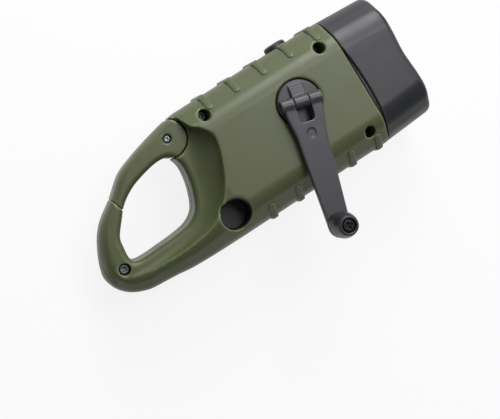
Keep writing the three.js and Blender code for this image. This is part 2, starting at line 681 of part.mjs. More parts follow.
function scoopCutter(side) {
  const rim = loopCurve(SCOOP_RIM_SHARES, false, SCOOP_POINTS);
  const floor = loopCurve(SCOOP_FLOOR_SHARES, false, SCOOP_POINTS);
  const rings = SCOOP_ANGLES.map((angle) => {
    const rise = LOOP_HALF_THICKNESS + SCOOP_RISE * (1 - Math.cos(angle * RAD));
    const share = 1 - Math.sin(angle * RAD);
    return scoopRing(rim.map((p, i) => p.clone().lerp(floor[i], share)), PARTING_Z + side * rise);
  });
  return loft(rings);
}

function grownRing(ring, growth, z) {
  return ring.map((p, i) => {
    const along = ring[(i + 1) % ring.length].clone().sub(ring.at(i - 1)).normalize();
    return new THREE.Vector3(p.x + along.y * growth, p.y - along.x * growth, z);
  });
}

function holeCutter() {
  const ring = loopCurve(HOLE_SHARES, true, HOLE_POINTS);
  const outward = Math.sign(area(ring)) * HOLE_RIM_CHAMFER * 2;
  return loft([
    grownRing(ring, outward, LOOP_LOW_Z - HOLE_RIM_CHAMFER),
    grownRing(ring, 0, LOOP_LOW_Z + HOLE_RIM_CHAMFER),
    grownRing(ring, 0, LOOP_TOP_Z - HOLE_RIM_CHAMFER),
    grownRing(ring, outward, LOOP_TOP_Z + HOLE_RIM_CHAMFER),
  ]);
}

function outerForm() {
  return cut(caseForm(), scoopCutter(1), scoopCutter(-1), holeCutter());
}

function ribs() {
  const grown = sectionTube(CAVITY_REAR_X - CUT_MARGIN, CASE_FRONT_X, -RIB_PROUD);
  const outer = CASE_HALF_WIDTH + CUT_MARGIN;
  const bands = [];
  for (let i = 0; i < RIB_COUNT; i += 1) {
    const x0 = RIB_FRONT_X - i * RIB_PITCH - RIB_WIDTH / 2;
    const x1 = x0 + RIB_WIDTH;
    bands.push(box(x0, x1, -outer, -RIB_INNER_Y, -CUT_MARGIN, FACE_Z + CUT_MARGIN));
    bands.push(box(x0, x1, RIB_INNER_Y, outer, -CUT_MARGIN, FACE_Z + CUT_MARGIN));
  }
  const form = join(...bands).intersect(grown);
  return cut(form, rodAlongY(BUTTON_X, PARTING_Z, RIB_BUTTON_CLEAR, 0, outer));
}

function cavity() {
  const main = sectionTube(CAVITY_REAR_X, CASE_FRONT_X + CUT_MARGIN, CASE_WALL);
  const plan = vectors(BAY_SHARES.map(([along, across]) => {
    return [along * LOOP_LENGTH, across * CASE_HALF_WIDTH];
  }));
  const pinionRoom = pitchRadius(PINION_TEETH) + GEAR_MODULE + SEAT_GAP * 2;
  return join(
    main,
    prism(plan, PARTING_Z - BAY_HALF_HEIGHT, PARTING_Z + BAY_HALF_HEIGHT),
    rod(IDLER_2_PLACE, pinionRoom, PARTING_Z, PINION_2_TOP_Z + SEAT_GAP),
  );
}

// Plan of the gate: its bar between the split and the hub, and the round hub
function gateForm(gap, hubRadius) {
  const low = LOOP_LOW_Z - CUT_MARGIN;
  const high = FACE_Z + CUT_MARGIN;
  const slope = GATE_SPLIT_LEAN / GATE_BAR_WIDTH;
  const splitX = (y) => GATE_SPLIT_X - gap - (y - GATE_SPLIT_Y) * slope;
  const inner = GATE_SPLIT_Y - GATE_BAR_WIDTH / 2;
  const outer = CASE_HALF_WIDTH + CUT_MARGIN;
  const bar = vectors([
    [splitX(inner), inner],
    polar(GATE_X, GATE_Y, hubRadius + CUT_MARGIN / 2, GATE_ROOT_ANGLE),
    [GATE_X, GATE_Y],
    [GATE_X, outer],
    [splitX(outer), outer],
  ]);
  const hub = rod([GATE_X, GATE_Y], hubRadius, low, high, FINE_SIDES);
  return join(prism(bar, low, high), hub);
}

function tongueForm() {
  const low = PARTING_Z - TONGUE_HALF_THICKNESS;
  const high = PARTING_Z + TONGUE_HALF_THICKNESS;
  const neck = vectors([
    ...TONGUE_NECK_ANGLES.map((angle) => polar(GATE_X, GATE_Y, TONGUE_RADIUS, angle)),
    [GATE_X + TONGUE_NECK / 2, GATE_Y - TONGUE_NECK],
    [GATE_X + TONGUE_NECK, GATE_Y - TONGUE_NECK / 2],
    [GATE_X + TONGUE_NECK, GATE_Y + TONGUE_RADIUS],
  ]);
  return join(
    rod([GATE_X, GATE_Y], TONGUE_RADIUS, low, high, FINE_SIDES),
    prism(neck, low, high),
  );
}

// Pocket round the gate pin for the torsion spring, with a way out for each leg
function springPocket() {
  const low = PARTING_Z - SPRING_POCKET_HALF;
  const high = PARTING_Z + SPRING_POCKET_HALF;
  const inner = GATE_SPRING_RADIUS - SPRING_SLOT_HALF;
  const outer = GATE_SPRING_RADIUS + SPRING_SLOT_HALF;
  return join(
    rod([GATE_X, GATE_Y], SPRING_POCKET_RADIUS, low, high),
    box(GATE_X - GATE_SPRING_LEG - CUT_MARGIN, GATE_X, GATE_Y - outer, GATE_Y - inner,
      high - SPRING_SLOT_HALF, high),
    box(GATE_X, GATE_X + GATE_SPRING_FOOT + SEAT_GAP, GATE_Y - outer, GATE_Y - inner,
      low, low + SPRING_SLOT_HALF),
  );
}

function gateBore() {
  return rod([GATE_X, GATE_Y], GATE_PIN_RADIUS + SPIN_GAP, 0, FACE_Z);
}

function shellBlank() {
  const room = gateForm(GATE_SPLIT_GAP, GATE_HUB_RADIUS + GATE_HUB_GAP);
  return cut(join(OUTER, ribs()), cavity(), room);
}

function buttonHole() {
  const radius = BUTTON_RADIUS + BUTTON_HOLE_GAP;
  return rodAlongY(BUTTON_X, PARTING_Z, radius, SWITCH_FRONT_Y, CASE_HALF_WIDTH + CUT_MARGIN);
}

function half(z0, z1) {
  const wide = CASE_HALF_WIDTH + CUT_MARGIN;
  return box(CASE_TAIL_X - CUT_MARGIN, CASE_FRONT_X + CUT_MARGIN, -wide, wide, z0, z1);
}

function upperBosses() {
  const low = PARTING_Z + PARTING_GAP / 2;
  const centre = [CRANK_X, CRANK_Y];
  return [
    ...SCREW_PLACES.map((place) => rod(place, BOSS_RADIUS, low, FACE_Z, BOSS_SIDES)),
    ...POST_PLACES.map((place) => rod(place, POST_RADIUS, low, FACE_Z, SMALL_SIDES)),
    rod(WELL_PLACE, WELL_RADIUS + WELL_WALL, WELL_FLOOR_Z - WELL_FLOOR_WALL, FACE_Z, FINE_SIDES),
    rod(centre, RECESS_RADIUS + WELL_WALL, RECESS_FLOOR_Z - RECESS_FLOOR, FACE_Z),
    rod(centre, COLLAR_RADIUS, COLLAR_LOW_Z, FACE_Z, BOSS_SIDES),
    rod(IDLER_1_PLACE, SHAFT_BOSS_RADIUS, PINION_1_TOP_Z + SEAT_GAP, FACE_Z, SMALL_SIDES),
    rod(IDLER_2_PLACE, SHAFT_BOSS_RADIUS, PINION_2_TOP_Z + SEAT_GAP, FACE_Z, SMALL_SIDES),
  ];
}

function shaftSocket(place, low) {
  const high = low + SEAT_GAP + SHAFT_SOCKET_DEPTH;
  return rod(place, SHAFT_RADIUS + SPIN_GAP, low, high, SMALL_SIDES);
}

function counterbore(place) {
  return join(
    rod(place, COUNTERBORE_RADIUS, COUNTERBORE_FLOOR_Z, FACE_Z + CUT_MARGIN),
    rod(place, SCREW_HOLE_RADIUS, 0, COUNTERBORE_FLOOR_Z + CUT_MARGIN, SMALL_SIDES),
  );
}

function plateScrewHole(place) {
  const radius = PLATE_SCREW_RADIUS + SPIN_GAP;
  return rod(place, radius, PLATE_LOW_Z, PLATE_TOP_Z + PLATE_SCREW_BITE + SEAT_GAP, SMALL_SIDES);
}

function upperShell() {
  const above = half(PARTING_Z + PARTING_GAP / 2, FACE_Z + CUT_MARGIN);
  const inner = join(...upperBosses()).intersect(OUTER);
  const tongue = tongueForm().intersect(OUTER);
  const centre = [CRANK_X, CRANK_Y];
  const top = FACE_Z + CUT_MARGIN;
  return cut(
    join(BLANK, inner, tongue).intersect(above),
    rod(WELL_PLACE, WELL_RADIUS, WELL_FLOOR_Z, top, FINE_SIDES),
    rod(centre, RECESS_RADIUS, RECESS_FLOOR_Z, top, FINE_SIDES),
    rod(centre, HUB_RADIUS + SPIN_GAP, COLLAR_LOW_Z - CUT_MARGIN, FACE_Z),
    shaftSocket(IDLER_1_PLACE, PINION_1_TOP_Z),
    shaftSocket(IDLER_2_PLACE, PINION_2_TOP_Z),
    ...SCREW_PLACES.map(counterbore),
    ...POST_PLACES.map(plateScrewHole),
    buttonHole(),
    gateBore(),
    springPocket(),
  );
}

function pegPlaces() {
  const y = BOARD_HALF_WIDTH - PEG_EDGE;
  const xs = [BOARD_REAR_X + PEG_EDGE, BOARD_FRONT_X - PEG_EDGE];
  return xs.flatMap((x) => [[x, y], [x, -y]]);
}

function windowPlan(growth) {
  const rear = WINDOW_REAR_X - growth;
  const front = WINDOW_FRONT_X + growth;
  const y = WINDOW_HALF_WIDTH + growth;
  return roundedPolygon([[front, y], [rear, y], [rear, -y], [front, -y]], WINDOW_CORNER);
}

function switchRibs() {
  const low = CASE_WALL / 2;
  const high = PARTING_Z - SWITCH_SIZE / 2 - SEAT_GAP;
  const front = SWITCH_FRONT_Y;
  const rear = BOARD_HALF_WIDTH + SEAT_GAP * 2;
  return [-1, 1].map((side) => {
    const x = BUTTON_X + side * SWITCH_SIZE / SWITCH_RIB / 2;
    return box(x - SWITCH_RIB / 2, x + SWITCH_RIB / 2, rear, front, low, high);
  });
}

function lowerShell() {
  const below = half(-CUT_MARGIN, PARTING_Z - PARTING_GAP / 2);
  const bosses = SCREW_PLACES.map((place) => {
    return rod(place, LOWER_BOSS_RADIUS, 0, PARTING_Z, BOSS_SIDES);
  });
  const pegs = pegPlaces().map((place) => {
    return rod(place, PEG_RADIUS, CASE_WALL / 2, BOARD_TOP_Z + PEG_PROUD, SMALL_SIDES);
  });
  const inner = join(...bosses, ...pegs, ...switchRibs()).intersect(OUTER);
  const tongue = tongueForm().intersect(OUTER);
  const pilots = SCREW_PLACES.map((place, i) => {
    const end = i < SCREW_PLACES.length - 1 ? PILOT_END_Z : TAIL_PILOT_END_Z;
    return rod(place, SCREW_RADIUS + SPIN_GAP, end, PARTING_Z, SMALL_SIDES);
  });
  return cut(
    join(BLANK, inner, tongue).intersect(below),
    prism(windowPlan(SEAT_GAP), -CUT_MARGIN, WINDOW_LEDGE_Z),
    prism(windowPlan(-LEDGE_WIDTH), 0, CASE_WALL + SEAT_GAP),
    ...pilots,
    buttonHole(),
    gateBore(),
    springPocket(),
  );
}

function gate() {
  const slotRadius = GATE_HUB_RADIUS + SPIN_GAP / 2;
  const reach = TONGUE_HALF_THICKNESS + SEAT_GAP;
  const slot = rod([GATE_X, GATE_Y], slotRadius, PARTING_Z - reach, PARTING_Z + reach, FINE_SIDES);
  const form = OUTER.intersect(gateForm(0, GATE_HUB_RADIUS));
  return cut(form, slot, gateBore(), springPocket());
}

function gatePin() {
  const low = LOOP_LOW_Z + GATE_PIN_SINK;
  const high = LOOP_TOP_Z - GATE_PIN_SINK;
  return rod([GATE_X, GATE_Y], GATE_PIN_RADIUS, low, high);
}

function gateSpringPath() {
  const count = GATE_SPRING_TURNS * SPRING_CURL_STEPS;
  const low = PARTING_Z - GATE_SPRING_TURNS * GATE_SPRING_PITCH / 2;
  const points = [new THREE.Vector3(GATE_X + GATE_SPRING_FOOT, GATE_Y - GATE_SPRING_RADIUS, low)];
  for (let i = 0; i <= count; i += 1) {
    const angle = -90 - i * 360 / SPRING_CURL_STEPS;
    const [x, y] = polar(GATE_X, GATE_Y, GATE_SPRING_RADIUS, angle);
    points.push(new THREE.Vector3(x, y, low + i * GATE_SPRING_PITCH / SPRING_CURL_STEPS));
  }
  const top = points.at(-1);
  points.push(new THREE.Vector3(GATE_X - GATE_SPRING_LEG, top.y, top.z));
  return points;
}

function leastGap(points, wireRadius, skip) {
  let least = Infinity;
  for (let i = 0; i < points.length; i += 1) {
    for (let j = i + skip; j < points.length; j += 1) {
      least = Math.min(least, points[i].distanceTo(points[j]) - 2 * wireRadius);
    }
  }
  return least;
}

function tube(points, radius, sides, steps) {
  const ring = Array.from({ length: sides }, (_, i) => {
    return new THREE.Vector2(...polar(0, 0, radius, i * 360 / sides));
  });
  const extrudePath = new THREE.CatmullRomCurve3(points, false, 'centripetal');
  return solid(new THREE.ExtrudeGeometry(new THREE.Shape(ring), { steps, extrudePath }));
}

function gateSpring() {
  const points = gateSpringPath();
  const gap = leastGap(points, GATE_SPRING_WIRE, SPRING_CURL_STEPS / 2);
  console.log(`gate spring: least gap between its curls ${gap.toFixed(2)} mm`);
  return tube(points, GATE_SPRING_WIRE, SPRING_SIDES, points.length + SPRING_CURL_STEPS);
}

// Lamp head
function bezelRing(x, inset) {
  const share = (x - BEZEL_REAR_X) / (BEZEL_FRONT_X - BEZEL_REAR_X);
  const halfWidth = CASE_HALF_WIDTH + (BEZEL_FRONT_HALF_WIDTH - CASE_HALF_WIDTH) * share;
  const halfHeight = CASE_HALF_HEIGHT + (BEZEL_FRONT_HALF_HEIGHT - CASE_HALF_HEIGHT) * share;
  return insetRing(x, inset, halfWidth, halfHeight);
}

function bezelTube(x0, x1, inset) {
  return loft([bezelRing(x0, inset), bezelRing(x1, inset)]);
}

function bezel() {
  const roundStart = BEZEL_FRONT_X - BEZEL_RIM_ROUND;
  const rim = BEZEL_RIM_ROUND * BEZEL_RIM_SHARE;
  const outer = loft([
    bezelRing(BEZEL_REAR_X, 0),
    bezelRing(roundStart, 0),
    bezelRing(BEZEL_FRONT_X - rim, rim),
    bezelRing(BEZEL_FRONT_X, BEZEL_RIM_ROUND),
  ]);
  const spigotRear = BEZEL_REAR_X - SPIGOT_LENGTH;
  const spigotInset = CASE_WALL + SEAT_GAP;
  const flange = BEZEL_REAR_X + BEZEL_WALL;
  return cut(
    join(outer, sectionTube(spigotRear, flange, spigotInset)),
    sectionTube(spigotRear - CUT_MARGIN, flange, spigotInset + SPIGOT_WALL),
    bezelTube(flange - SEAT_GAP, BEZEL_FRONT_X - BEZEL_LIP, BEZEL_WALL),
    bezelTube(flange, BEZEL_FRONT_X + CUT_MARGIN, BEZEL_LIP_INSET),
  );
}

const GASKET_FRONT_X = BEZEL_FRONT_X - BEZEL_LIP - SEAT_GAP;
const LENS_FRONT_X = GASKET_FRONT_X - GASKET_THICKNESS - SEAT_GAP;
const PLATE_FRONT_X = LENS_FRONT_X - LENS_THICKNESS - SEAT_GAP;
const CUP_REAR_X = PLATE_FRONT_X - CUP_DEPTH;
const LED_REAR_X = CUP_REAR_X - LED_FLANGE_HEIGHT - SEAT_GAP;
const HEAD_FIT = BEZEL_WALL + SEAT_GAP;
const LED_BOARD_HALF_WIDTH = CASE_HALF_WIDTH - LED_BOARD_INSET;
const CUP_PLACES = [
  [0, PARTING_Z + CUP_TOP_HEIGHT],
  [CUP_SIDE, PARTING_Z + CUP_LOW_HEIGHT],
  [-CUP_SIDE, PARTING_Z + CUP_LOW_HEIGHT],
];

function gasket() {
  const rear = GASKET_FRONT_X - GASKET_THICKNESS;
  return cut(
    bezelTube(rear, GASKET_FRONT_X, HEAD_FIT),
    bezelTube(rear - CUT_MARGIN, GASKET_FRONT_X + CUT_MARGIN, HEAD_FIT + GASKET_WIDTH),
  );
}

function lens() {
  return bezelTube(LENS_FRONT_X - LENS_THICKNESS, LENS_FRONT_X, HEAD_FIT);
}

function cupBody([y, z], growth, shares, x0, x1) {
  const profile = shares.map((share) => {
    const spread = CUP_THROAT ** 2 + (CUP_RADIUS ** 2 - CUP_THROAT ** 2) * share;
    return [Math.sqrt(spread) + growth, CUP_REAR_X + share * CUP_DEPTH];
  });
  profile[0][1] = x0;
  profile.at(-1)[1] = x1;
  const closed = [[0, x0], ...profile, [0, x1]];
  return solid(turned(closed, CUP_SIDES).rotateY(Math.PI / 2).translate(0, y, z));
}

function reflector() {
  const plateRear = PLATE_FRONT_X - REFLECTOR_PLATE;
  const middle = PLATE_FRONT_X - REFLECTOR_PLATE / 2;
  const posts = [-1, 1].map((side) => {
    return rodAlongX(side * (LED_BOARD_HALF_WIDTH - LED_POST_EDGE), PARTING_Z + CUP_TOP_HEIGHT / 2,
      POST_RADIUS / 2, LED_REAR_X, plateRear + SPIN_GAP, SMALL_SIDES);
  });
  const body = join(
    bezelTube(plateRear, PLATE_FRONT_X, HEAD_FIT),
    ...CUP_PLACES.map((place) => cupBody(place, CUP_WALL, [0, CUP_BEND_SHARE, 1], CUP_REAR_X, middle)),
    ...posts,
  );
  const front = PLATE_FRONT_X + SPIN_GAP;
  return cut(body, ...CUP_PLACES.map((place) => {
    return cupBody(place, 0, [0, CUP_BEND_SHARE, 1 - CUP_BEND_SHARE, 1], CUP_REAR_X - SPIN_GAP, front);
  }));
}

function led([y, z]) {
  const dome = LED_LENGTH - LED_RADIUS;
  const profile = [
    [0, 0], [LED_FLANGE_RADIUS, 0], [LED_FLANGE_RADIUS, LED_FLANGE_HEIGHT],
    [LED_RADIUS, LED_FLANGE_HEIGHT], [LED_RADIUS, dome],
    ...DOME_ANGLES.map((angle) => polar(0, dome, LED_RADIUS, angle)),
    [0, LED_LENGTH],
  ];
  const geometry = turned(profile, SMALL_SIDES).rotateY(Math.PI / 2);
  return solid(geometry.translate(LED_REAR_X, y, z));
}

function ledBoard() {
  const front = LED_REAR_X - SEAT_GAP;
  const halfHeight = CASE_HALF_HEIGHT - LED_BOARD_INSET;
  return loft([front - LED_BOARD_THICKNESS, front].map((x) => {
    return sectionRing(x, LED_BOARD_HALF_WIDTH, -LED_BOARD_HALF_WIDTH, halfHeight,
      LED_BOARD_CORNER, LED_BOARD_CORNER, LED_BOARD_ROUND);
  }));
}

// Crank, in a frame on its own axis at the flat face, with the arm along +X
function crankHub() {
  const low = SEAT_GAP - RECESS_DEPTH;
  const disc = solid(turned([
    [0, low], [DISC_RADIUS, low], [DISC_RADIUS, DISC_PROUD - DISC_CHAMFER],
    [DISC_RADIUS - DISC_CHAMFER, DISC_PROUD], [0, DISC_PROUD],
  ], FINE_SIDES));
  const shaftLow = GEAR_TOP_Z + SEAT_GAP - FACE_Z;
  const squareLow = GEAR_LOW_Z + SPIN_GAP - FACE_Z;
  const s = HUB_SQUARE / 2;
  const lug = vectors([
    [0, low / 2], [0, LUG_TOP], [-LUG_REACH / 2, LUG_TOP],
    [-LUG_REACH, LUG_TOE_HEIGHT], [-LUG_REACH - LUG_TOE, DISC_PROUD],
    [-LUG_REACH - LUG_TOE, low / 2],
  ]);
  const k = KNUCKLE_HALF_WIDTH;
  const grooveRadius = BARREL_RADIUS + BARREL_GROOVE_GAP;
  const boreTop = shaftLow + SCREW_BITE;
  return cut(
    join(
      cut(
        disc,
        rodAlongY(0, HINGE_HEIGHT, grooveRadius, k, DISC_RADIUS + CUT_MARGIN),
        rodAlongY(0, HINGE_HEIGHT, grooveRadius, -DISC_RADIUS - CUT_MARGIN, -k),
      ),
      rod([0, 0], HUB_RADIUS, shaftLow, low + SPIN_GAP),
      box(-s, s, -s, s, squareLow, shaftLow + SPIN_GAP),
      rodAlongY(0, HINGE_HEIGHT, BARREL_RADIUS, -k, k),
      prismAlongY(lug, -k, k),
    ),
    rodAlongY(0, HINGE_HEIGHT, HINGE_PIN_RADIUS + SPIN_GAP, -DISC_RADIUS, DISC_RADIUS, SMALL_SIDES),
    rod([0, 0], SCREW_RADIUS + SPIN_GAP, squareLow - CUT_MARGIN, boreTop, SMALL_SIDES),
  );
}

function hubScrew() {
  const headTop = GEAR_LOW_Z - SEAT_GAP / 2 - FACE_Z;
  return join(
    rod([0, 0], HUB_HEAD_RADIUS, headTop - SCREW_HEAD_HEIGHT, headTop),
    rod([0, 0], SCREW_RADIUS, headTop - SPIN_GAP, headTop + SCREW_BITE, SMALL_SIDES),
  );
}

function hingePin() {
  const reach = PRONG_OUTER - SPIN_GAP;
  return rodAlongY(0, HINGE_HEIGHT, HINGE_PIN_RADIUS, -reach, reach, SMALL_SIDES);
}

function armPlan() {
  const side = [
    [0, ARM_ROOT_HALF],
    [ARM_WAIST_AT / 3, ARM_ROOT_HALF],
    [ARM_WAIST_AT, ARM_WAIST_HALF],
    [KNOB_REACH, ARM_END_HALF],
  ];
  const end = ARM_END_ANGLES.map((angle) => polar(KNOB_REACH, 0, ARM_END_HALF, angle));
  const upper = [...side, ...end];
  const lower = upper.slice(0, -1).map(([x, y]) => [x, -y]).reverse();
  return vectors([...upper, ...lower]);
}

function crankArm() {
  const low = ARM_TOP - ARM_THICKNESS;
  const slot = roundedPolygon([
    [SLOT_END, PRONG_INNER], [-SLOT_END, PRONG_INNER],
    [-SLOT_END, -PRONG_INNER], [SLOT_END, -PRONG_INNER],
  ], SLOT_CORNER);
  const pinRadius = HINGE_PIN_RADIUS + SPIN_GAP;
  return cut(
    join(
      prism(armPlan(), low, ARM_TOP),
      rodAlongY(0, HINGE_HEIGHT, BARREL_RADIUS, -PRONG_OUTER, PRONG_OUTER),
    ),
    prism(slot, low - BARREL_RADIUS, ARM_TOP + BARREL_RADIUS),
    rodAlongY(0, HINGE_HEIGHT, pinRadius, -DISC_RADIUS, DISC_RADIUS, SMALL_SIDES),
    rod([EJECTOR_AT, 0], EJECTOR_RADIUS, ARM_TOP - EJECTOR_DEPTH, ARM_TOP + CUT_MARGIN, SMALL_SIDES),
    rod([KNOB_REACH, 0], KNOB_BORE_RADIUS, 0, ARM_TOP + CUT_MARGIN, SMALL_SIDES),
  );
}

function knob() {
  const base = ARM_TOP + SEAT_GAP;
  const end = base + KNOB_LENGTH;
  const sink = end - KNOB_HEAD_SINK;
  const taper = base + KNOB_LENGTH * KNOB_TAPER_SHARE;
  const headRoom = KNOB_HEAD_RADIUS + SEAT_GAP;
  return solid(turned([
    [KNOB_BORE_RADIUS, base], [KNOB_RADIUS - KNOB_EDGE, base], [KNOB_RADIUS, base + KNOB_EDGE],
    [KNOB_RADIUS, taper], [KNOB_TIP_RADIUS, end - KNOB_EDGE],
    [KNOB_TIP_RADIUS - KNOB_EDGE, end], [headRoom, end],
    [headRoom, sink], [KNOB_BORE_RADIUS, sink], [KNOB_BORE_RADIUS, base],
  ]).translate(KNOB_REACH, 0, 0));
}

function knobPin() {
  const low = ARM_TOP - ARM_THICKNESS + SPIN_GAP;
  const seat = ARM_TOP + KNOB_LENGTH - KNOB_HEAD_SINK + SEAT_GAP * 2;
  return join(
    rod([KNOB_REACH, 0], KNOB_PIN_RADIUS, low, seat + SPIN_GAP, SMALL_SIDES),
    rod([KNOB_REACH, 0], KNOB_HEAD_RADIUS, seat, seat + SCREW_HEAD_HEIGHT),
  );
}

// Gears
function involuteAngle(radius, base) {
  const ratio = Math.max(radius / base, 1);
  const pressure = Math.acos(1 / ratio);
  return Math.tan(pressure) - pressure;
}

function gearPoints(teeth, addendumShare, flankSteps) {
  const pitch = pitchRadius(teeth);
  const base = pitch * Math.cos(PRESSURE_ANGLE * RAD);
  const tip = pitch + addendumShare * GEAR_MODULE;
  const root = pitch - DEDENDUM_SHARE * GEAR_MODULE;
  const halfTooth = Math.PI / (2 * teeth) - BACKLASH / (2 * pitch);
  const flank = Array.from({ length: flankSteps + 1 }, (_, i) => {
    const radius = root + (tip - root) * i / flankSteps;
    const angle = halfTooth + involuteAngle(pitch, base) - involuteAngle(radius, base);
    return [radius, angle];
  });
  const points = [];
  for (let tooth = 0; tooth < teeth; tooth += 1) {
    const centre = tooth * 2 * Math.PI / teeth;
    flank.forEach(([radius, angle]) => points.push(polar(0, 0, radius, (centre - angle) / RAD)));
    flank.toReversed().forEach(([radius, angle]) => {
      points.push(polar(0, 0, radius, (centre + angle) / RAD));
    });
  }
  return vectors(points);
}

function gear(teeth, addendumShare, flankSteps, z0, z1) {
  return prism(gearPoints(teeth, addendumShare, flankSteps), z0, z1);
}

function wheel(teeth, z0, z1) {
  return gear(teeth, WHEEL_ADDENDUM_SHARE, 1, z0, z1);
}

function pinion(z0, z1) {
  return gear(PINION_TEETH, PINION_ADDENDUM_SHARE, 2, z0, z1);
}

// Turn of a gear about its axis that puts its teeth into the gaps of the one that drives it
function meshTurn(driverTurn, driverTeeth, direction, teeth) {
  const driverPhase = (driverTurn - direction) * driverTeeth / 360;
  return direction + 180 + (0.5 - driverPhase) * 360 / teeth;
}

const IDLER_1_TURN = meshTurn(CRANK_REST_ANGLE, CRANK_TEETH, IDLER_1_DIRECTION, PINION_TEETH);
const IDLER_2_TURN = meshTurn(IDLER_1_TURN, IDLER_1_TEETH, IDLER_2_DIRECTION, PINION_TEETH);
const ROTOR_TURN = meshTurn(IDLER_2_TURN, IDLER_2_TEETH, ROTOR_DIRECTION, PINION_TEETH);

function crankGear() {
  const low = GEAR_LOW_Z - FACE_Z;
  const high = GEAR_TOP_Z - FACE_Z;
  const s = HUB_SQUARE / 2 + SPIN_GAP;
  return cut(
    wheel(CRANK_TEETH, low, high),
    box(-s, s, -s, s, low - CUT_MARGIN, high + CUT_MARGIN),
  );
}

function idler(teeth, wheelLow, wheelTop, pinionTop) {
  const low = PLATE_TOP_Z + SEAT_GAP;
  return cut(
    join(
      wheel(teeth, wheelLow, wheelTop),
      pinion(wheelTop - SPIN_GAP, pinionTop),
      rod([0, 0], SPACER_RADIUS, low, wheelLow + SPIN_GAP, SMALL_SIDES),
    ),
    rod([0, 0], SHAFT_RADIUS + SPIN_GAP, 0, FACE_Z, SMALL_SIDES),
  );
}

function idlerShaft(place, pinionTop) {
  return rod(place, SHAFT_RADIUS, PLATE_LOW_Z, pinionTop + SHAFT_SOCKET_DEPTH, SMALL_SIDES);
}

function gearPlate() {
  const z = [PLATE_LOW_Z, PLATE_TOP_Z];
  const [front, left, rear] = POST_PLACES;
  const bearings = [IDLER_1_PLACE, IDLER_2_PLACE];
  return cut(
    join(
      link(front, left, PLATE_BAR_HALF, ...z),
      link(left, rear, PLATE_BAR_HALF, ...z),
      link(rear, front, PLATE_BAR_HALF, ...z),
      rod(ROTOR_PLACE, STATOR_RADIUS + SEAT_GAP, ...z),
      ...bearings.map((place) => rod(place, PLATE_LOBE_RADIUS, ...z, BOSS_SIDES)),
    ),
    ...bearings.map((place) => rod(place, SHAFT_RADIUS + SPIN_GAP, 0, FACE_Z, SMALL_SIDES)),
    ...POST_PLACES.map((place) => rod(place, PLATE_SCREW_RADIUS + SPIN_GAP, 0, FACE_Z, SMALL_SIDES)),
    rod(ROTOR_PLACE, ROTOR_SHAFT_RADIUS + SPIN_GAP, 0, FACE_Z, SMALL_SIDES),
  );
}

function plateScrew(place) {
  const seat = PLATE_LOW_Z - SEAT_GAP;
  return join(
    rod(place, SCREW_HEAD_RADIUS, seat - PLATE_HEAD_HEIGHT, seat, SMALL_SIDES),
    rod(place, PLATE_SCREW_RADIUS, seat - SPIN_GAP, PLATE_TOP_Z + PLATE_SCREW_BITE, SMALL_SIDES),
  );
}

// Dynamo, in a frame on the rotor axis
function rotorPinion() {
  const high = ROTOR_PINION_LOW_Z + ROTOR_PINION_HEIGHT;
  return cut(
    pinion(ROTOR_PINION_LOW_Z, high),
    rod([0, 0], ROTOR_SHAFT_RADIUS + SPIN_GAP, 0, FACE_Z, SMALL_SIDES),
  );
}

function rotorShaft() {
  const high = ROTOR_PINION_LOW_Z + ROTOR_PINION_HEIGHT + SEAT_GAP;
  return rod([0, 0], ROTOR_SHAFT_RADIUS, STATOR_LOW_Z - SEAT_GAP, high, SMALL_SIDES);
}

function rotorMagnet() {
  const middle = (STATOR_LOW_Z + STATOR_TOP_Z) / 2;
  return cut(
    rod([0, 0], MAGNET_RADIUS, middle - MAGNET_HEIGHT / 2, middle + MAGNET_HEIGHT / 2),
    rod([0, 0], ROTOR_SHAFT_RADIUS + SPIN_GAP, 0, FACE_Z, SMALL_SIDES),
  );
}

function claws(start, z0, z1) {
  const inner = MAGNET_RADIUS + AIR_GAP;
  const outer = inner + CLAW_THICKNESS;
  return Array.from({ length: CLAW_COUNT }, (_, i) => {
    const middle = start + i * 360 / CLAW_COUNT;
    const angles = [-CLAW_SWEEP / 2, 0, CLAW_SWEEP / 2].map((angle) => middle + angle);
    const points = [
      ...angles.map((angle) => polar(0, 0, inner, angle)),
      ...angles.toReversed().map((angle) => polar(0, 0, outer, angle)),
    ];
    return prism(vectors(points), z0, z1);
  });
}

function statorCup() {
  const wallTop = STATOR_TOP_Z - STATOR_WALL - SEAT_GAP;
  return cut(
    join(
      cut(
        rod([0, 0], STATOR_RADIUS, STATOR_LOW_Z, wallTop),
        rod([0, 0], STATOR_RADIUS - STATOR_WALL, STATOR_LOW_Z + STATOR_WALL, FACE_Z),
      ),
      ...claws(0, STATOR_LOW_Z + STATOR_WALL / 2, wallTop - STATOR_WALL),
    ),
    rod([0, 0], ROTOR_SHAFT_RADIUS + SPIN_GAP, 0, FACE_Z, SMALL_SIDES),
  );
}

function statorCap() {
  const low = STATOR_TOP_Z - STATOR_WALL;
  const clawLow = STATOR_LOW_Z + STATOR_WALL * 2;
  return join(
    cut(
      rod([0, 0], STATOR_RADIUS, low, STATOR_TOP_Z),
      rod([0, 0], MAGNET_RADIUS + AIR_GAP, 0, FACE_Z),
    ),
    ...claws(180 / CLAW_COUNT, clawLow, low + STATOR_WALL / 2),
  );
}

function statorCoil() {
  const inner = MAGNET_RADIUS + AIR_GAP + CLAW_THICKNESS + COIL_WALL_GAP;
  const outer = STATOR_RADIUS - STATOR_WALL - COIL_WALL_GAP;
  const low = STATOR_LOW_Z + STATOR_WALL + COIL_WALL_GAP;
  const high = STATOR_TOP_Z - STATOR_WALL - COIL_WALL_GAP;
  return cut(rod([0, 0], outer, low, high), rod([0, 0], inner, 0, FACE_Z));
}

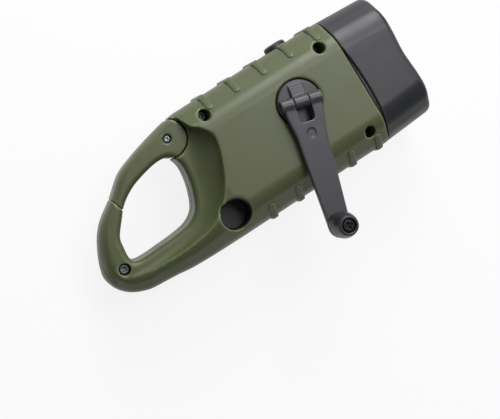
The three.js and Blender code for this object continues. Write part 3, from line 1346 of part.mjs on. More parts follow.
// Electrics
function mainBoard() {
  const board = box(BOARD_REAR_X, BOARD_FRONT_X, -BOARD_HALF_WIDTH, BOARD_HALF_WIDTH,
    BOARD_LOW_Z, BOARD_TOP_Z);
  const chip = box(CHIP_X - CHIP_SIZE / 2, CHIP_X + CHIP_SIZE / 2,
    CHIP_Y - CHIP_SIZE / 2, CHIP_Y + CHIP_SIZE / 2,
    BOARD_TOP_Z - SPIN_GAP, BOARD_TOP_Z + CHIP_HEIGHT);
  const capacitor = rod([CAPACITOR_X, CAPACITOR_Y], CAPACITOR_RADIUS,
    BOARD_TOP_Z - SPIN_GAP, BOARD_TOP_Z + CAPACITOR_HEIGHT, SMALL_SIDES);
  const holes = pegPlaces().map((place) => {
    return rod(place, PEG_RADIUS + SPIN_GAP, 0, FACE_Z, SMALL_SIDES);
  });
  return cut(join(board, chip, capacitor), ...holes);
}

function batteryPack() {
  const step = BATTERY_LENGTH / BATTERY_CELLS;
  const profile = [[0, -BATTERY_LENGTH / 2]];
  for (let i = 0; i < BATTERY_CELLS; i += 1) {
    const low = -BATTERY_LENGTH / 2 + i * step;
    const high = low + step;
    profile.push([BATTERY_RADIUS - BATTERY_GROOVE, low], [BATTERY_RADIUS, low + BATTERY_GROOVE]);
    profile.push([BATTERY_RADIUS, high - BATTERY_GROOVE]);
  }
  profile.push([BATTERY_RADIUS - BATTERY_GROOVE, BATTERY_LENGTH / 2], [0, BATTERY_LENGTH / 2]);
  const geometry = turned(profile).rotateX(Math.PI / 2);
  return solid(geometry.translate(BATTERY_X, 0, BATTERY_Z));
}

function solarWindow() {
  return prism(windowPlan(0), WINDOW_SINK, WINDOW_SINK + WINDOW_THICKNESS);
}

function solarPanel() {
  const plan = windowPlan(-LEDGE_WIDTH - SEAT_GAP);
  return prism(plan, WINDOW_LEDGE_Z, WINDOW_LEDGE_Z + PANEL_THICKNESS);
}

function buttonCap() {
  const rear = SWITCH_FRONT_Y + PLUNGER_PROUD + SEAT_GAP;
  const flangeFront = CASE_HALF_WIDTH - CASE_WALL - SEAT_GAP * 2;
  const flangeRear = flangeFront - BUTTON_FLANGE_THICKNESS;
  const top = CASE_HALF_WIDTH + BUTTON_PROUD;
  const domeStart = top - BUTTON_DOME_RISE;
  const profile = [
    [0, rear], [BUTTON_STEM_RADIUS, rear], [BUTTON_STEM_RADIUS, flangeRear],
    [BUTTON_FLANGE_RADIUS, flangeRear], [BUTTON_FLANGE_RADIUS, flangeFront],
    [BUTTON_RADIUS, flangeFront], [BUTTON_RADIUS, domeStart],
    ...DOME_ANGLES.map((angle) => [
      BUTTON_RADIUS * Math.cos(angle * RAD),
      domeStart + BUTTON_DOME_RISE * Math.sin(angle * RAD),
    ]),
    [0, top],
  ];
  const geometry = turned(profile).rotateX(-Math.PI / 2);
  return solid(geometry.translate(BUTTON_X, 0, PARTING_Z));
}

function switchBody() {
  const s = SWITCH_SIZE / 2;
  const boreRear = SWITCH_FRONT_Y - PLUNGER_BURIED - BUTTON_TRAVEL - SEAT_GAP;
  return cut(
    box(BUTTON_X - s, BUTTON_X + s, SWITCH_FRONT_Y - SWITCH_DEPTH, SWITCH_FRONT_Y,
      PARTING_Z - s, PARTING_Z + s),
    rodAlongY(BUTTON_X, PARTING_Z, PLUNGER_RADIUS + SPIN_GAP, boreRear,
      SWITCH_FRONT_Y + CUT_MARGIN, SMALL_SIDES),
  );
}

function switchPlunger() {
  const rear = SWITCH_FRONT_Y - PLUNGER_BURIED;
  const front = SWITCH_FRONT_Y + PLUNGER_PROUD;
  return rodAlongY(BUTTON_X, PARTING_Z, PLUNGER_RADIUS, rear, front, SMALL_SIDES);
}

function caseScrew(place, tipZ) {
  const seat = COUNTERBORE_FLOOR_Z + SEAT_GAP;
  return join(
    rod(place, SCREW_HEAD_RADIUS, seat, seat + SCREW_HEAD_HEIGHT, SMALL_SIDES),
    rod(place, SCREW_RADIUS, tipZ, seat + SPIN_GAP, SMALL_SIDES),
  );
}

// Leads
const LEAD_FOOT_Z = BOARD_TOP_Z + SEAT_GAP;

function lead(...points) {
  const path = points.map((point) => new THREE.Vector3(...point));
  return tube(path, LEAD_RADIUS, LEAD_SIDES, LEAD_STEPS);
}

function lampLead(side) {
  const y = side * LEAD_Y;
  const bendZ = LEAD_FOOT_Z + LAMP_LEAD_BEND;
  const end = LED_REAR_X - LED_BOARD_THICKNESS - SEAT_GAP * 2;
  return lead(
    [LAMP_LEAD_X, y, LEAD_FOOT_Z], [LAMP_LEAD_X, y, bendZ],
    [LAMP_LEAD_X + LAMP_LEAD_BEND, y, LAMP_LEAD_Z], [end, y, LAMP_LEAD_Z],
  );
}

function batteryLead(side) {
  const start = side * (BATTERY_LENGTH / 2 + SEAT_GAP);
  return lead(
    [BATTERY_LEAD_X, start, BATTERY_Z],
    [BATTERY_LEAD_X, side * LEAD_Y, BATTERY_Z - LEAD_RADIUS * 2],
    [BATTERY_LEAD_X, side * LEAD_Y, LEAD_FOOT_Z],
  );
}

function coilLead(side) {
  const start = ROTOR_PLACE[0] + STATOR_RADIUS + SEAT_GAP;
  const y = ROTOR_PLACE[1] + side * COIL_LEAD_SPREAD;
  const end = start + COIL_LEAD_REACH;
  return lead(
    [start, y, COIL_LEAD_Z], [(start + end) / 2, y, COIL_LEAD_Z],
    [end, y, (COIL_LEAD_Z + LEAD_FOOT_Z) / 2], [end, y, LEAD_FOOT_Z],
  );
}

const OUTER = outerForm();
const BLANK = shellBlank();

// Colours and finishes
const OLIVE = { color: 0x66703f, roughness: 0.5, metalness: 0 };
const BLACK = { color: 0x2b2c30, roughness: 0.42, metalness: 0 };
const DARK_NYLON = { color: 0x37383c, roughness: 0.45, metalness: 0 };
const WHITE_NYLON = { color: 0xe4e1d6, roughness: 0.5, metalness: 0 };
const STEEL = { color: 0xb9bcc0, roughness: 0.3, metalness: 1 };
const BLACK_STEEL = { color: 0x303134, roughness: 0.4, metalness: 1 };
const BRASS = { color: 0xc4a35a, roughness: 0.35, metalness: 1 };
const COPPER = { color: 0xb5703c, roughness: 0.4, metalness: 0.9 };
const FERRITE = { color: 0x3a3a3c, roughness: 0.6, metalness: 0.2 };
const MIRROR = { color: 0xe8eaec, roughness: 0.08, metalness: 1 };
const CLEAR = { color: 0xe9f0f2, roughness: 0.05, metalness: 0, transparent: true, opacity: 0.35 };
const LED_CLEAR = { color: 0xf2ead0, roughness: 0.1, metalness: 0 };
const BOARD_GREEN = { color: 0x23603a, roughness: 0.5, metalness: 0 };
const WRAP = { color: 0x2f6d4a, roughness: 0.45, metalness: 0 };
const SILICON = { color: 0x1b2238, roughness: 0.25, metalness: 0.1 };
const RUBBER = { color: 0x1d1d1f, roughness: 0.75, metalness: 0 };
const RED_INSULATION = { color: 0xa32020, roughness: 0.5, metalness: 0 };
const BLACK_INSULATION = { color: 0x17171a, roughness: 0.5, metalness: 0 };

function piece(name, body, finish, parent, place = [0, 0, 0], turn = 0) {
  const mesh = new THREE.Mesh(geometryOf(body), new THREE.MeshStandardMaterial(finish));
  mesh.name = name;
  mesh.position.set(...place);
  mesh.rotation.z = turn * RAD;
  parent.add(mesh);
  return mesh;
}

const flashlight = new THREE.Group();
piece('upper_shell', upperShell(), OLIVE, flashlight);
piece('lower_shell', lowerShell(), OLIVE, flashlight);
SCREW_PLACES.forEach((place, i) => {
  const tip = i < SCREW_PLACES.length - 1 ? SCREW_TIP_Z : TAIL_SCREW_TIP_Z;
  piece(`case_screw_${i + 1}`, caseScrew(place, tip), BLACK_STEEL, flashlight);
});

piece('gate', gate(), OLIVE, flashlight);
piece('gate_pin', gatePin(), STEEL, flashlight);
piece('gate_spring', gateSpring(), STEEL, flashlight);

piece('bezel', bezel(), BLACK, flashlight);
piece('lens_gasket', gasket(), RUBBER, flashlight);
piece('lens', lens(), CLEAR, flashlight);
piece('reflector', reflector(), MIRROR, flashlight);
piece('led_board', ledBoard(), BOARD_GREEN, flashlight);
CUP_PLACES.forEach((place, i) => piece(`led_${i + 1}`, led(place), LED_CLEAR, flashlight));

const crank = new THREE.Group();
crank.position.set(CRANK_X, CRANK_Y, FACE_Z);
crank.rotation.z = CRANK_REST_ANGLE * RAD;
flashlight.add(crank);
piece('crank_hub', crankHub(), BLACK, crank);
piece('hinge_pin', hingePin(), STEEL, crank);
piece('crank_gear', crankGear(), WHITE_NYLON, crank);
piece('hub_screw', hubScrew(), STEEL, crank);
piece('crank_arm', crankArm(), DARK_NYLON, crank);
piece('knob', knob(), BLACK, crank);
piece('knob_pin', knobPin(), STEEL, crank);

const idler1 = idler(IDLER_1_TEETH, WHEEL_1_LOW_Z, WHEEL_1_TOP_Z, PINION_1_TOP_Z);
const idler2 = idler(IDLER_2_TEETH, WHEEL_2_LOW_Z, WHEEL_2_TOP_Z, PINION_2_TOP_Z);
piece('idler_1', idler1, WHITE_NYLON, flashlight, [...IDLER_1_PLACE, 0], IDLER_1_TURN);
piece('idler_2', idler2, WHITE_NYLON, flashlight, [...IDLER_2_PLACE, 0], IDLER_2_TURN);
piece('idler_1_shaft', idlerShaft(IDLER_1_PLACE, PINION_1_TOP_Z), STEEL, flashlight);
piece('idler_2_shaft', idlerShaft(IDLER_2_PLACE, PINION_2_TOP_Z), STEEL, flashlight);
piece('gear_plate', gearPlate(), BRASS, flashlight);
POST_PLACES.forEach((place, i) => {
  piece(`plate_screw_${i + 1}`, plateScrew(place), STEEL, flashlight);
});

const dynamo = new THREE.Group();
dynamo.position.set(...ROTOR_PLACE, 0);
flashlight.add(dynamo);
piece('rotor_pinion', rotorPinion(), BRASS, dynamo, [0, 0, 0], ROTOR_TURN);
piece('rotor_shaft', rotorShaft(), STEEL, dynamo);
piece('rotor_magnet', rotorMagnet(), FERRITE, dynamo);
piece('stator_cup', statorCup(), STEEL, dynamo);
piece('stator_cap', statorCap(), STEEL, dynamo);
piece('stator_coil', statorCoil(), COPPER, dynamo);

piece('main_board', mainBoard(), BOARD_GREEN, flashlight);
piece('battery_pack', batteryPack(), WRAP, flashlight);
piece('solar_panel', solarPanel(), SILICON, flashlight);
piece('solar_window', solarWindow(), CLEAR, flashlight);
piece('button', buttonCap(), RUBBER, flashlight);
piece('switch_body', switchBody(), BLACK, flashlight);
piece('switch_plunger', switchPlunger(), WHITE_NYLON, flashlight);
[['lamp', lampLead], ['battery', batteryLead], ['coil', coilLead]].forEach(([name, form]) => {
  piece(`${name}_lead_1`, form(1), RED_INSULATION, flashlight);
  piece(`${name}_lead_2`, form(-1), BLACK_INSULATION, flashlight);
});

export default flashlight;
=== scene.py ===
import math

import bpy
import numpy as np
from mathutils import Matrix, Vector


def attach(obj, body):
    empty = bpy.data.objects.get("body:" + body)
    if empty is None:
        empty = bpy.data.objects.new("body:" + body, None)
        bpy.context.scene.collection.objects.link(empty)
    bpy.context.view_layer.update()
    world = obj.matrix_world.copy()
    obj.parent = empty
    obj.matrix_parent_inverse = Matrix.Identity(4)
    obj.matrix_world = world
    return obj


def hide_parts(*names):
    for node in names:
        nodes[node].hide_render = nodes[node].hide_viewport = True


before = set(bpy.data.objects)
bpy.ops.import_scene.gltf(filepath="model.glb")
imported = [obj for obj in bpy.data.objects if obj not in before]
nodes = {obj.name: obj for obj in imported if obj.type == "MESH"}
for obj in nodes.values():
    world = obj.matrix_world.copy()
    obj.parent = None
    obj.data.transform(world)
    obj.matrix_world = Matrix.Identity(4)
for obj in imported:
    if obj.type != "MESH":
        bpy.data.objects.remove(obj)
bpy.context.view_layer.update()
scene = bpy.context.scene
MM = 0.001

# ------------------------------------------------------------
# View and light.
# The light lies on its flat face on a pale table and is seen almost straight from above.
# A large soft panel stands on the button side, a weak one at the lens end, one overhead.
CAMERA_RIGHT = (0.826267, -0.529767, 0.191389)
CAMERA_UP = (0.542711, 0.839712, -0.018667)
CAMERA_BACK = (-0.150822, 0.119293, 0.981337)
CAMERA_PLACE = (7.224, -18.602, 450.0)   # along right, up and back, from mid height
MID = 18.0   # height of the parting plane over the table
LENS_MM = 86.64
ROOM_STRENGTH = 0.19
TABLE_GLOW = 0.86   # share of white where the table is seen, the rest takes the shadow
TABLE_HALF = 3.0
TABLE_TOP = -0.0003

camera = bpy.data.objects.new("view", bpy.data.cameras.new("view"))
scene.collection.objects.link(camera)
turn = Matrix((CAMERA_RIGHT, CAMERA_UP, CAMERA_BACK)).transposed()
place = turn @ Vector(CAMERA_PLACE) + Vector((0, 0, MID))
camera.matrix_world = Matrix.Translation(place * MM) @ turn.to_4x4()
camera.data.lens = LENS_MM
camera.data.sensor_width = 36
camera.data.clip_start = 0.01
scene.camera = camera
scene.view_settings.view_transform = "Standard"


def add(tree, kind, settings=None, links=None):
    """One node with its settings; links name its inputs and the sockets that feed them."""
    node = tree.nodes.new(kind)
    for key, value in (settings or {}).items():
        if isinstance(key, int) or key in node.inputs:
            node.inputs[key].default_value = value
        else:
            setattr(node, key, value)
    for key, socket in (links or {}).items():
        tree.links.new(socket, node.inputs[key])
    return node


def linear(code):
    """sRGB hex to the linear colour that the shaders take."""
    parts = [int(code[i:i + 2], 16) / 255 for i in (0, 2, 4)]
    return (*(c / 12.92 if c <= 0.04045 else ((c + 0.055) / 1.055) ** 2.4 for c in parts), 1.0)


def bare_material(name):
    """A material and its node tree, still empty."""
    material = bpy.data.materials.new(name)
    material.use_nodes = True
    material.node_tree.nodes.clear()
    return material, material.node_tree


def seen_directly(tree):
    """1 for what the camera sees itself, in a gloss or through glass."""
    path = add(tree, "ShaderNodeLightPath")
    first = add(tree, "ShaderNodeMath", {"operation": "MAXIMUM"},
                {0: path.outputs["Is Camera Ray"], 1: path.outputs["Is Glossy Ray"]})
    return add(tree, "ShaderNodeMath", {"operation": "MAXIMUM"},
               {0: first.outputs[0], 1: path.outputs["Is Transmission Ray"]}).outputs[0]


world = bpy.data.worlds.new("studio")
scene.world = world
world.use_nodes = True
tree = world.node_tree
tree.nodes.clear()
room = add(tree, "ShaderNodeBackground", {"Color": linear("f4f6f8"), "Strength": ROOM_STRENGTH})
paper = add(tree, "ShaderNodeBackground", {"Color": (1, 1, 1, 1), "Strength": 1.0})
path = add(tree, "ShaderNodeLightPath")
mixed = add(tree, "ShaderNodeMixShader", {}, {0: path.outputs["Is Camera Ray"],
                                             1: room.outputs[0], 2: paper.outputs[0]})
add(tree, "ShaderNodeOutputWorld", {}, {"Surface": mixed.outputs[0]})

for name, spot, aim, size, power in (
        ("key_panel", (0.30, 0.54, 0.38), (0.02, 0.0, 0.02), 0.4, 4.4),
        ("lens_panel", (0.75, -0.10, 0.30), (0.04, 0.0, 0.02), 0.4, 0.8),
        ("top_panel", (0.25, 0.10, 0.63), (0.04, 0.0, 0.02), 0.3, 1.8)):
    lamp = bpy.data.lights.new(name, "AREA")
    lamp.size = size
    lamp.energy = power
    panel = bpy.data.objects.new(name, lamp)
    scene.collection.objects.link(panel)
    panel.location = spot
    panel.rotation_euler = (Vector(aim) - Vector(spot)).to_track_quat("-Z", "Y").to_euler()

# Painted board, matt: pale, and white where it is seen, so that only the shadow shows
table_paint, tree = bare_material("pale_table")
matt = add(tree, "ShaderNodeBsdfDiffuse", {"Color": linear("f2f2f2")})
glow = add(tree, "ShaderNodeEmission", {"Color": (1, 1, 1, 1), "Strength": 1.0})
share = add(tree, "ShaderNodeMath", {"operation": "MULTIPLY", 1: TABLE_GLOW},
            {0: seen_directly(tree)})
mixed = add(tree, "ShaderNodeMixShader", {}, {0: share.outputs[0], 1: matt.outputs[0],
                                             2: glow.outputs[0]})
add(tree, "ShaderNodeOutputMaterial", {}, {"Surface": mixed.outputs[0]})
table = bpy.data.objects.new("table", bpy.data.meshes.new("table"))
table.data.from_pydata([(x * TABLE_HALF, y * TABLE_HALF, TABLE_TOP)
                        for x, y in ((-1, -1), (1, -1), (1, 1), (-1, 1))], [], [(0, 1, 2, 3)])
table.data.materials.append(table_paint)
scene.collection.objects.link(table)

# ------------------------------------------------------------
# Housing halves.
# Two halves moulded in olive ABS, screwed together at mid height. The deep body drops
# through a dished scoop to the thin carabiner loop; edges are soft, the dish rim is crisp.
CASE_FRONT = 53.6
CASE_TAIL = -63.8
HALF_WIDTH = 26.0
HALF_HEIGHT = 18.0
TOP = 36.0
TAPER_START = -9.0
TAPER = TAPER_START - CASE_TAIL
SHOULDER = 9.0
WALL = 2.0
LOOP_HALF = 9.0
LOOP_LENGTH = 65.0
DISH_RISE = 11.0
BODY_ROUND = 2.4
DISH_ROUND = 0.35
HOLE_ROUND = 2.2
LEAN_WIDTH = 6   # over this width the shoulder turns from the plain side's to the gate side's
LEFT_SIDE = [(0, -0.4), (0.012, -0.33), (0.04, -0.19), (0.08, -0.03), (0.13, 0.13), (0.2, 0.28),
             (0.33, 0.47), (0.46, 0.69), (0.6, 0.81), (0.75, 0.9), (0.88, 0.965), (1, 1)]
RIGHT_SIDE = [(0, -0.45), (0.006, -0.5), (0.022, -0.59), (0.055, -0.7), (0.1, -0.79),
              (0.16, -0.86), (0.24, -0.915), (0.34, -0.935), (0.44, -0.955), (0.55, -0.985),
              (0.75, -1), (1, -1)]
HEIGHTS = [(0, 0.17), (0.01, 0.28), (0.03, 0.38), (0.07, 0.46), (0.13, 0.515), (0.3, 0.58),
           (0.5, 0.66), (0.68, 0.76), (0.82, 0.88), (0.92, 0.965), (1, 1)]
DISH_RIM = [(0.826, 1.12), (0.868, 0.76), (0.908, 0.662), (0.951, 0.48), (0.942, 0.27),
            (0.904, 0.02), (0.858, -0.2), (0.788, -0.42), (0.69, -0.61), (0.57, -0.695),
            (0.43, -0.75), (0.28, -0.765), (0.17, -0.7), (0.1, -0.635), (0.03, -0.53),
            (-0.08, -0.4)]
DISH_FLOOR = [(0.821, 1.12), (0.856, 0.755), (0.842, 0.62), (0.79, 0.44), (0.762, 0.25),
              (0.735, -0.02), (0.71, -0.2), (0.665, -0.36), (0.6, -0.47), (0.52, -0.53),
              (0.4, -0.565), (0.28, -0.57), (0.17, -0.57), (0.1, -0.565), (0.04, -0.49),
              (-0.08, -0.36)]
LOOP_HOLE = [(0.612, 0.552), (0.672, 0.54), (0.708, 0.475), (0.727, 0.33), (0.722, 0.154),
             (0.706, -0.018), (0.676, -0.21), (0.641, -0.33), (0.578, -0.415), (0.49, -0.447),
             (0.4, -0.458), (0.3, -0.466), (0.238, -0.455), (0.21, -0.415), (0.202, -0.34),
             (0.208, -0.2), (0.223, -0.045), (0.282, 0.14), (0.342, 0.304), (0.427, 0.434),
             (0.519, 0.508)]
PLAN_STEP = 0.4
PLAN_LOW = (-84.0, -46.0)
PLAN_HIGH = (84.0, 46.0)


def smooth_curve(points, closed=False, per=9):
    """Points along a smooth curve through the given ones."""
    p = np.array(points, float)
    if closed:
        p = np.vstack([p[-1], p, p[0], p[1]])
    else:
        p = np.vstack([2 * p[0] - p[1], p, 2 * p[-1] - p[-2]])
    t = np.linspace(0, 1, per, endpoint=False)[:, None]
    out = [0.5 * (2 * b + (c - a) * t + (2 * a - 5 * b + 4 * c - d) * t ** 2
                  + (3 * b - a - 3 * c + d) * t ** 3)
           for a, b, c, d in zip(p, p[1:], p[2:], p[3:])]
    rows = np.vstack(out)
    return rows if closed else np.vstack([rows, p[-2]])


def outline_distance(outline):
    """Table over the plan of the signed distance to a closed outline, negative inside."""
    xs = np.arange(PLAN_LOW[0], PLAN_HIGH[0], PLAN_STEP)
    ys = np.arange(PLAN_LOW[1], PLAN_HIGH[1], PLAN_STEP)
    x, y = np.meshgrid(xs, ys, indexing="ij")
    nearest = np.full(x.shape, 1e9)
    inside = np.zeros(x.shape, bool)
    for (ax, ay), (bx, by) in zip(outline, np.roll(outline, -1, 0)):
        dx, dy = bx - ax, by - ay
        along = np.clip(((x - ax) * dx + (y - ay) * dy) / max(dx * dx + dy * dy, 1e-12), 0, 1)
        nearest = np.minimum(nearest, np.hypot(x - ax - along * dx, y - ay - along * dy))
        if ay != by:
            inside ^= ((ay > y) != (by > y)) & (x < ax + (y - ay) * dx / (by - ay))
    return np.where(inside, -nearest, nearest)


def read_plan(plan, x, y):
    """Bilinear reading of a plan table."""
    u = np.clip((x - PLAN_LOW[0]) / PLAN_STEP, 0, plan.shape[0] - 1.001)
    v = np.clip((y - PLAN_LOW[1]) / PLAN_STEP, 0, plan.shape[1] - 1.001)
    i, j = u.astype(int), v.astype(int)
    u, v = u - i, v - j
    return ((plan[i, j] * (1 - u) + plan[i + 1, j] * u) * (1 - v)
            + (plan[i, j + 1] * (1 - u) + plan[i + 1, j + 1] * u) * v)


def both(a, b, radius=0.0):
    """Where both forms are, with the edge between them rounded."""
    return (np.minimum(-radius, np.maximum(a, b))
            + np.hypot(np.maximum(radius + a, 0), np.maximum(radius + b, 0)))


def either(a, b, radius=0.0):
    """Where at least one form is, with the inner corner filled."""
    return -both(-a, -b, radius)


def away(x, y, place):
    """Distance in plan from a place."""
    return np.hypot(x - place[0], y - place[1])


def post(x, y, z, place, radius, foot, top, soft=0.0):
    """Upright round bar."""
    return both(away(x, y, place) - radius, np.maximum(foot - z, z - top), soft)


def posts(x, y, z, rows):
    """Several upright round bars as one form."""
    form = post(x, y, z, *rows[0])
    for row in rows[1:]:
        form = np.minimum(form, post(x, y, z, *row))
    return form


def surface(field, low, high, step):
    """Closed quad mesh of the field's zero surface: one point per crossed cell, moved on to it."""
    axes = [np.arange(a, b + step, step) for a, b in zip(low, high)]
    shape = [len(a) for a in axes]
    values = np.empty(shape)
    y, z = np.meshgrid(axes[1], axes[2], indexing="ij")
    for start in range(0, shape[0], 16):
        rows = axes[0][start:start + 16]
        x, y_all, z_all = np.broadcast_arrays(rows[:, None, None], y, z)
        values[start:start + 16] = field(x, y_all, z_all)
    corners = [(i, j, k) for i in (0, 1) for j in (0, 1) for k in (0, 1)]
    cells = [n - 1 for n in shape]

    def corner(c):
        return values[c[0]:c[0] + cells[0], c[1]:c[1] + cells[1], c[2]:c[2] + cells[2]]

    count = sum((corner(c) < 0).astype(np.int8) for c in corners)
    mixed = (count > 0) & (count < 8)
    number = np.full(cells, -1)
    number[mixed] = np.arange(mixed.sum())
    held = {c: corner(c)[mixed] for c in corners}
    total = np.zeros((mixed.sum(), 3))
    hits = np.zeros(mixed.sum())
    for a in corners:
        for axis in range(3):
            if a[axis]:
                continue
            b = tuple(1 if n == axis else a[n] for n in range(3))
            crossed = (held[a] < 0) != (held[b] < 0)
            share = held[a][crossed] / (held[a][crossed] - held[b][crossed])
            point = np.tile(np.array(a, float), (crossed.sum(), 1))
            point[:, axis] = share
            total[crossed] += point
            hits[crossed] += 1
    points = np.array(low) + step * (np.argwhere(mixed) + total / hits[:, None])
    quads = []
    for axis in range(3):
        one, two = [n for n in range(3) if n != axis]
        here = [slice(1, cells[n]) for n in range(3)]
        here[axis] = slice(0, cells[axis])
        after = list(here)
        after[axis] = slice(1, cells[axis] + 1)
        start, end = values[tuple(here)] < 0, values[tuple(after)] < 0
        for outward, crossed in ((True, start & ~end), (False, ~start & end)):
            at = np.argwhere(crossed)
            at[:, one] += 1
            at[:, two] += 1
            ring = []
            for du, dv in ((0, 0), (1, 0), (1, 1), (0, 1)):
                cell = at.copy()
                cell[:, one] -= 1 - du
                cell[:, two] -= 1 - dv
                ring.append(number[tuple(cell.T)])
            ring = np.array(ring).T
            quads.append(ring if outward == (axis != 1) else ring[:, ::-1])
    quads = np.vstack(quads)
    nudge = step * 0.05
    for _ in range(3):
        x, y, z = points.T
        value = field(x, y, z)
        slope = np.stack([field(x + nudge, y, z) - field(x - nudge, y, z),
                          field(x, y + nudge, z) - field(x, y - nudge, z),
                          field(x, y, z + nudge) - field(x, y, z - nudge)], 1) / (2 * nudge)
        move = value[:, None] * slope / np.maximum((slope ** 2).sum(1), 0.05)[:, None]
        length = np.linalg.norm(move, axis=1, keepdims=True)
        points = points - move * np.minimum(1, 0.35 * step / np.maximum(length, 1e-9))
    return points, quads


def make_piece(name, points, faces, material, smooth=True):
    """Object at the origin whose mesh holds its place; points are in millimetres."""
    mesh = bpy.data.meshes.new(name)
    mesh.from_pydata((np.asarray(points) * MM).tolist(), [],
                     faces.tolist() if hasattr(faces, "tolist") else faces)
    mesh.validate()
    if smooth:
        mesh.shade_smooth()
    mesh.materials.append(material)
    piece = bpy.data.objects.new(name, mesh)
    scene.collection.objects.link(piece)
    return piece


def moulding(name, form, low, high, step, material):
    """Piece drawn from its implicit form within a box."""
    return make_piece(name, *surface(form, low, high, step), material)


def mark_edges(piece):
    """Stores how far each point stands out from its neighbours, for the painted edge highlights."""
    mesh = piece.data
    n = len(mesh.vertices)
    place, normal = np.empty(n * 3), np.empty(n * 3)
    ends = np.empty(len(mesh.edges) * 2, int)
    mesh.vertices.foreach_get("co", place)
    mesh.vertex_normals.foreach_get("vector", normal)
    mesh.edges.foreach_get("vertices", ends)
    place, normal = place.reshape(-1, 3), normal.reshape(-1, 3)
    a, b = np.concatenate([ends.reshape(-1, 2), ends.reshape(-1, 2)[:, ::-1]]).T
    count = np.maximum(np.bincount(a, minlength=n), 1)

    def around(values):
        return np.bincount(a, values[b], n) / count

    mean = np.stack([around(place[:, i]) for i in range(3)], 1)
    length = np.bincount(a, np.linalg.norm(place[a] - place[b], axis=1), n) / count
    proud = ((place - mean) * normal).sum(1) / np.maximum(length, 1e-6)
    for _ in range(3):
        proud = 0.4 * proud + 0.6 * around(proud)
    mesh.attributes.new("proud", "FLOAT", "POINT").data.foreach_set("value", proud)


def moulded_plastic(name, colour, second, roughness, grain_mm, grain_depth_mm, blotch_mm=9.0,
                    edge_highlight=None):
    """Injection moulded plastic: even colour that drifts a little, spark-eroded grain, and
    outer edges painted paler as a highlight."""
    material, tree = bare_material(name)
    spot = add(tree, "ShaderNodeTexCoord").outputs["Object"]
    drift = add(tree, "ShaderNodeTexNoise", {"Scale": 1 / (blotch_mm * MM), "Detail": 3.0},
                {"Vector": spot})
    mix = add(tree, "ShaderNodeMix", {"data_type": "RGBA", 6: linear(colour), 7: linear(second)},
              {0: drift.outputs[0]})
    # Outer edges are mixed towards a paler colour: a painted highlight.
    if edge_highlight:
        proud = add(tree, "ShaderNodeAttribute", {"attribute_name": "proud"})
        edge = add(tree, "ShaderNodeMapRange", {"From Min": 0.05, "From Max": 0.2, "To Max": 0.8},
                   {0: proud.outputs["Fac"]})
        mix = add(tree, "ShaderNodeMix", {"data_type": "RGBA", 7: linear(edge_highlight)},
                  {0: edge.outputs[0], 6: mix.outputs[2]})
    grain = add(tree, "ShaderNodeTexNoise", {"Scale": 1 / (grain_mm * MM), "Detail": 2.0,
                                             "Roughness": 0.6}, {"Vector": spot})
    shine = add(tree, "ShaderNodeMapRange",
                {"From Min": 0.3, "From Max": 0.7, "To Min": roughness - 0.04,
                 "To Max": roughness + 0.05}, {0: drift.outputs[0]})
    bump = add(tree, "ShaderNodeBump", {"Strength": 1.0, "Distance": grain_depth_mm * MM},
               {"Height": grain.outputs[0]})
    skin = add(tree, "ShaderNodeBsdfPrincipled", {"IOR": 1.5},
               {"Base Color": mix.outputs[2], "Roughness": shine.outputs[0],
                "Normal": bump.outputs[0]})
    add(tree, "ShaderNodeOutputMaterial", {}, {"Surface": skin.outputs[0]})
    return material


# Olive ABS, moulded in a spark-eroded tool: a soft satin face with a very fine grain
# Its paler edge colour is a painted highlight along the outer edges.
olive_abs = moulded_plastic("olive_abs", "4e5437", "53593b", 0.42, 0.55, 0.012,
                            edge_highlight="7d875c")

left_line = smooth_curve([(CASE_TAIL + a * TAPER, b * HALF_WIDTH) for a, b in LEFT_SIDE])
right_line = smooth_curve([(CASE_TAIL + a * TAPER, b * HALF_WIDTH) for a, b in RIGHT_SIDE])
height_line = smooth_curve([(CASE_TAIL + a * TAPER, b * HALF_HEIGHT) for a, b in HEIGHTS])
case_plan = outline_distance(np.vstack([[(82, HALF_WIDTH)], left_line[::-1], right_line,
                                        [(82, -HALF_WIDTH)]]))


def loop_plan(shares, closed=False):
    points = smooth_curve([((a - 1) * LOOP_LENGTH, b * HALF_WIDTH) for a, b in shares], closed)
    if closed:
        return outline_distance(points)
    points[0, 1] = HALF_WIDTH + DISH_RISE
    points[-1, 0] = CASE_TAIL - DISH_RISE
    return outline_distance(np.vstack([points, [(CASE_TAIL - DISH_RISE, HALF_WIDTH + DISH_RISE)]]))


dish_rim = loop_plan(DISH_RIM)
dish_floor = loop_plan(DISH_FLOOR)
hole_plan = loop_plan(LOOP_HOLE, closed=True)


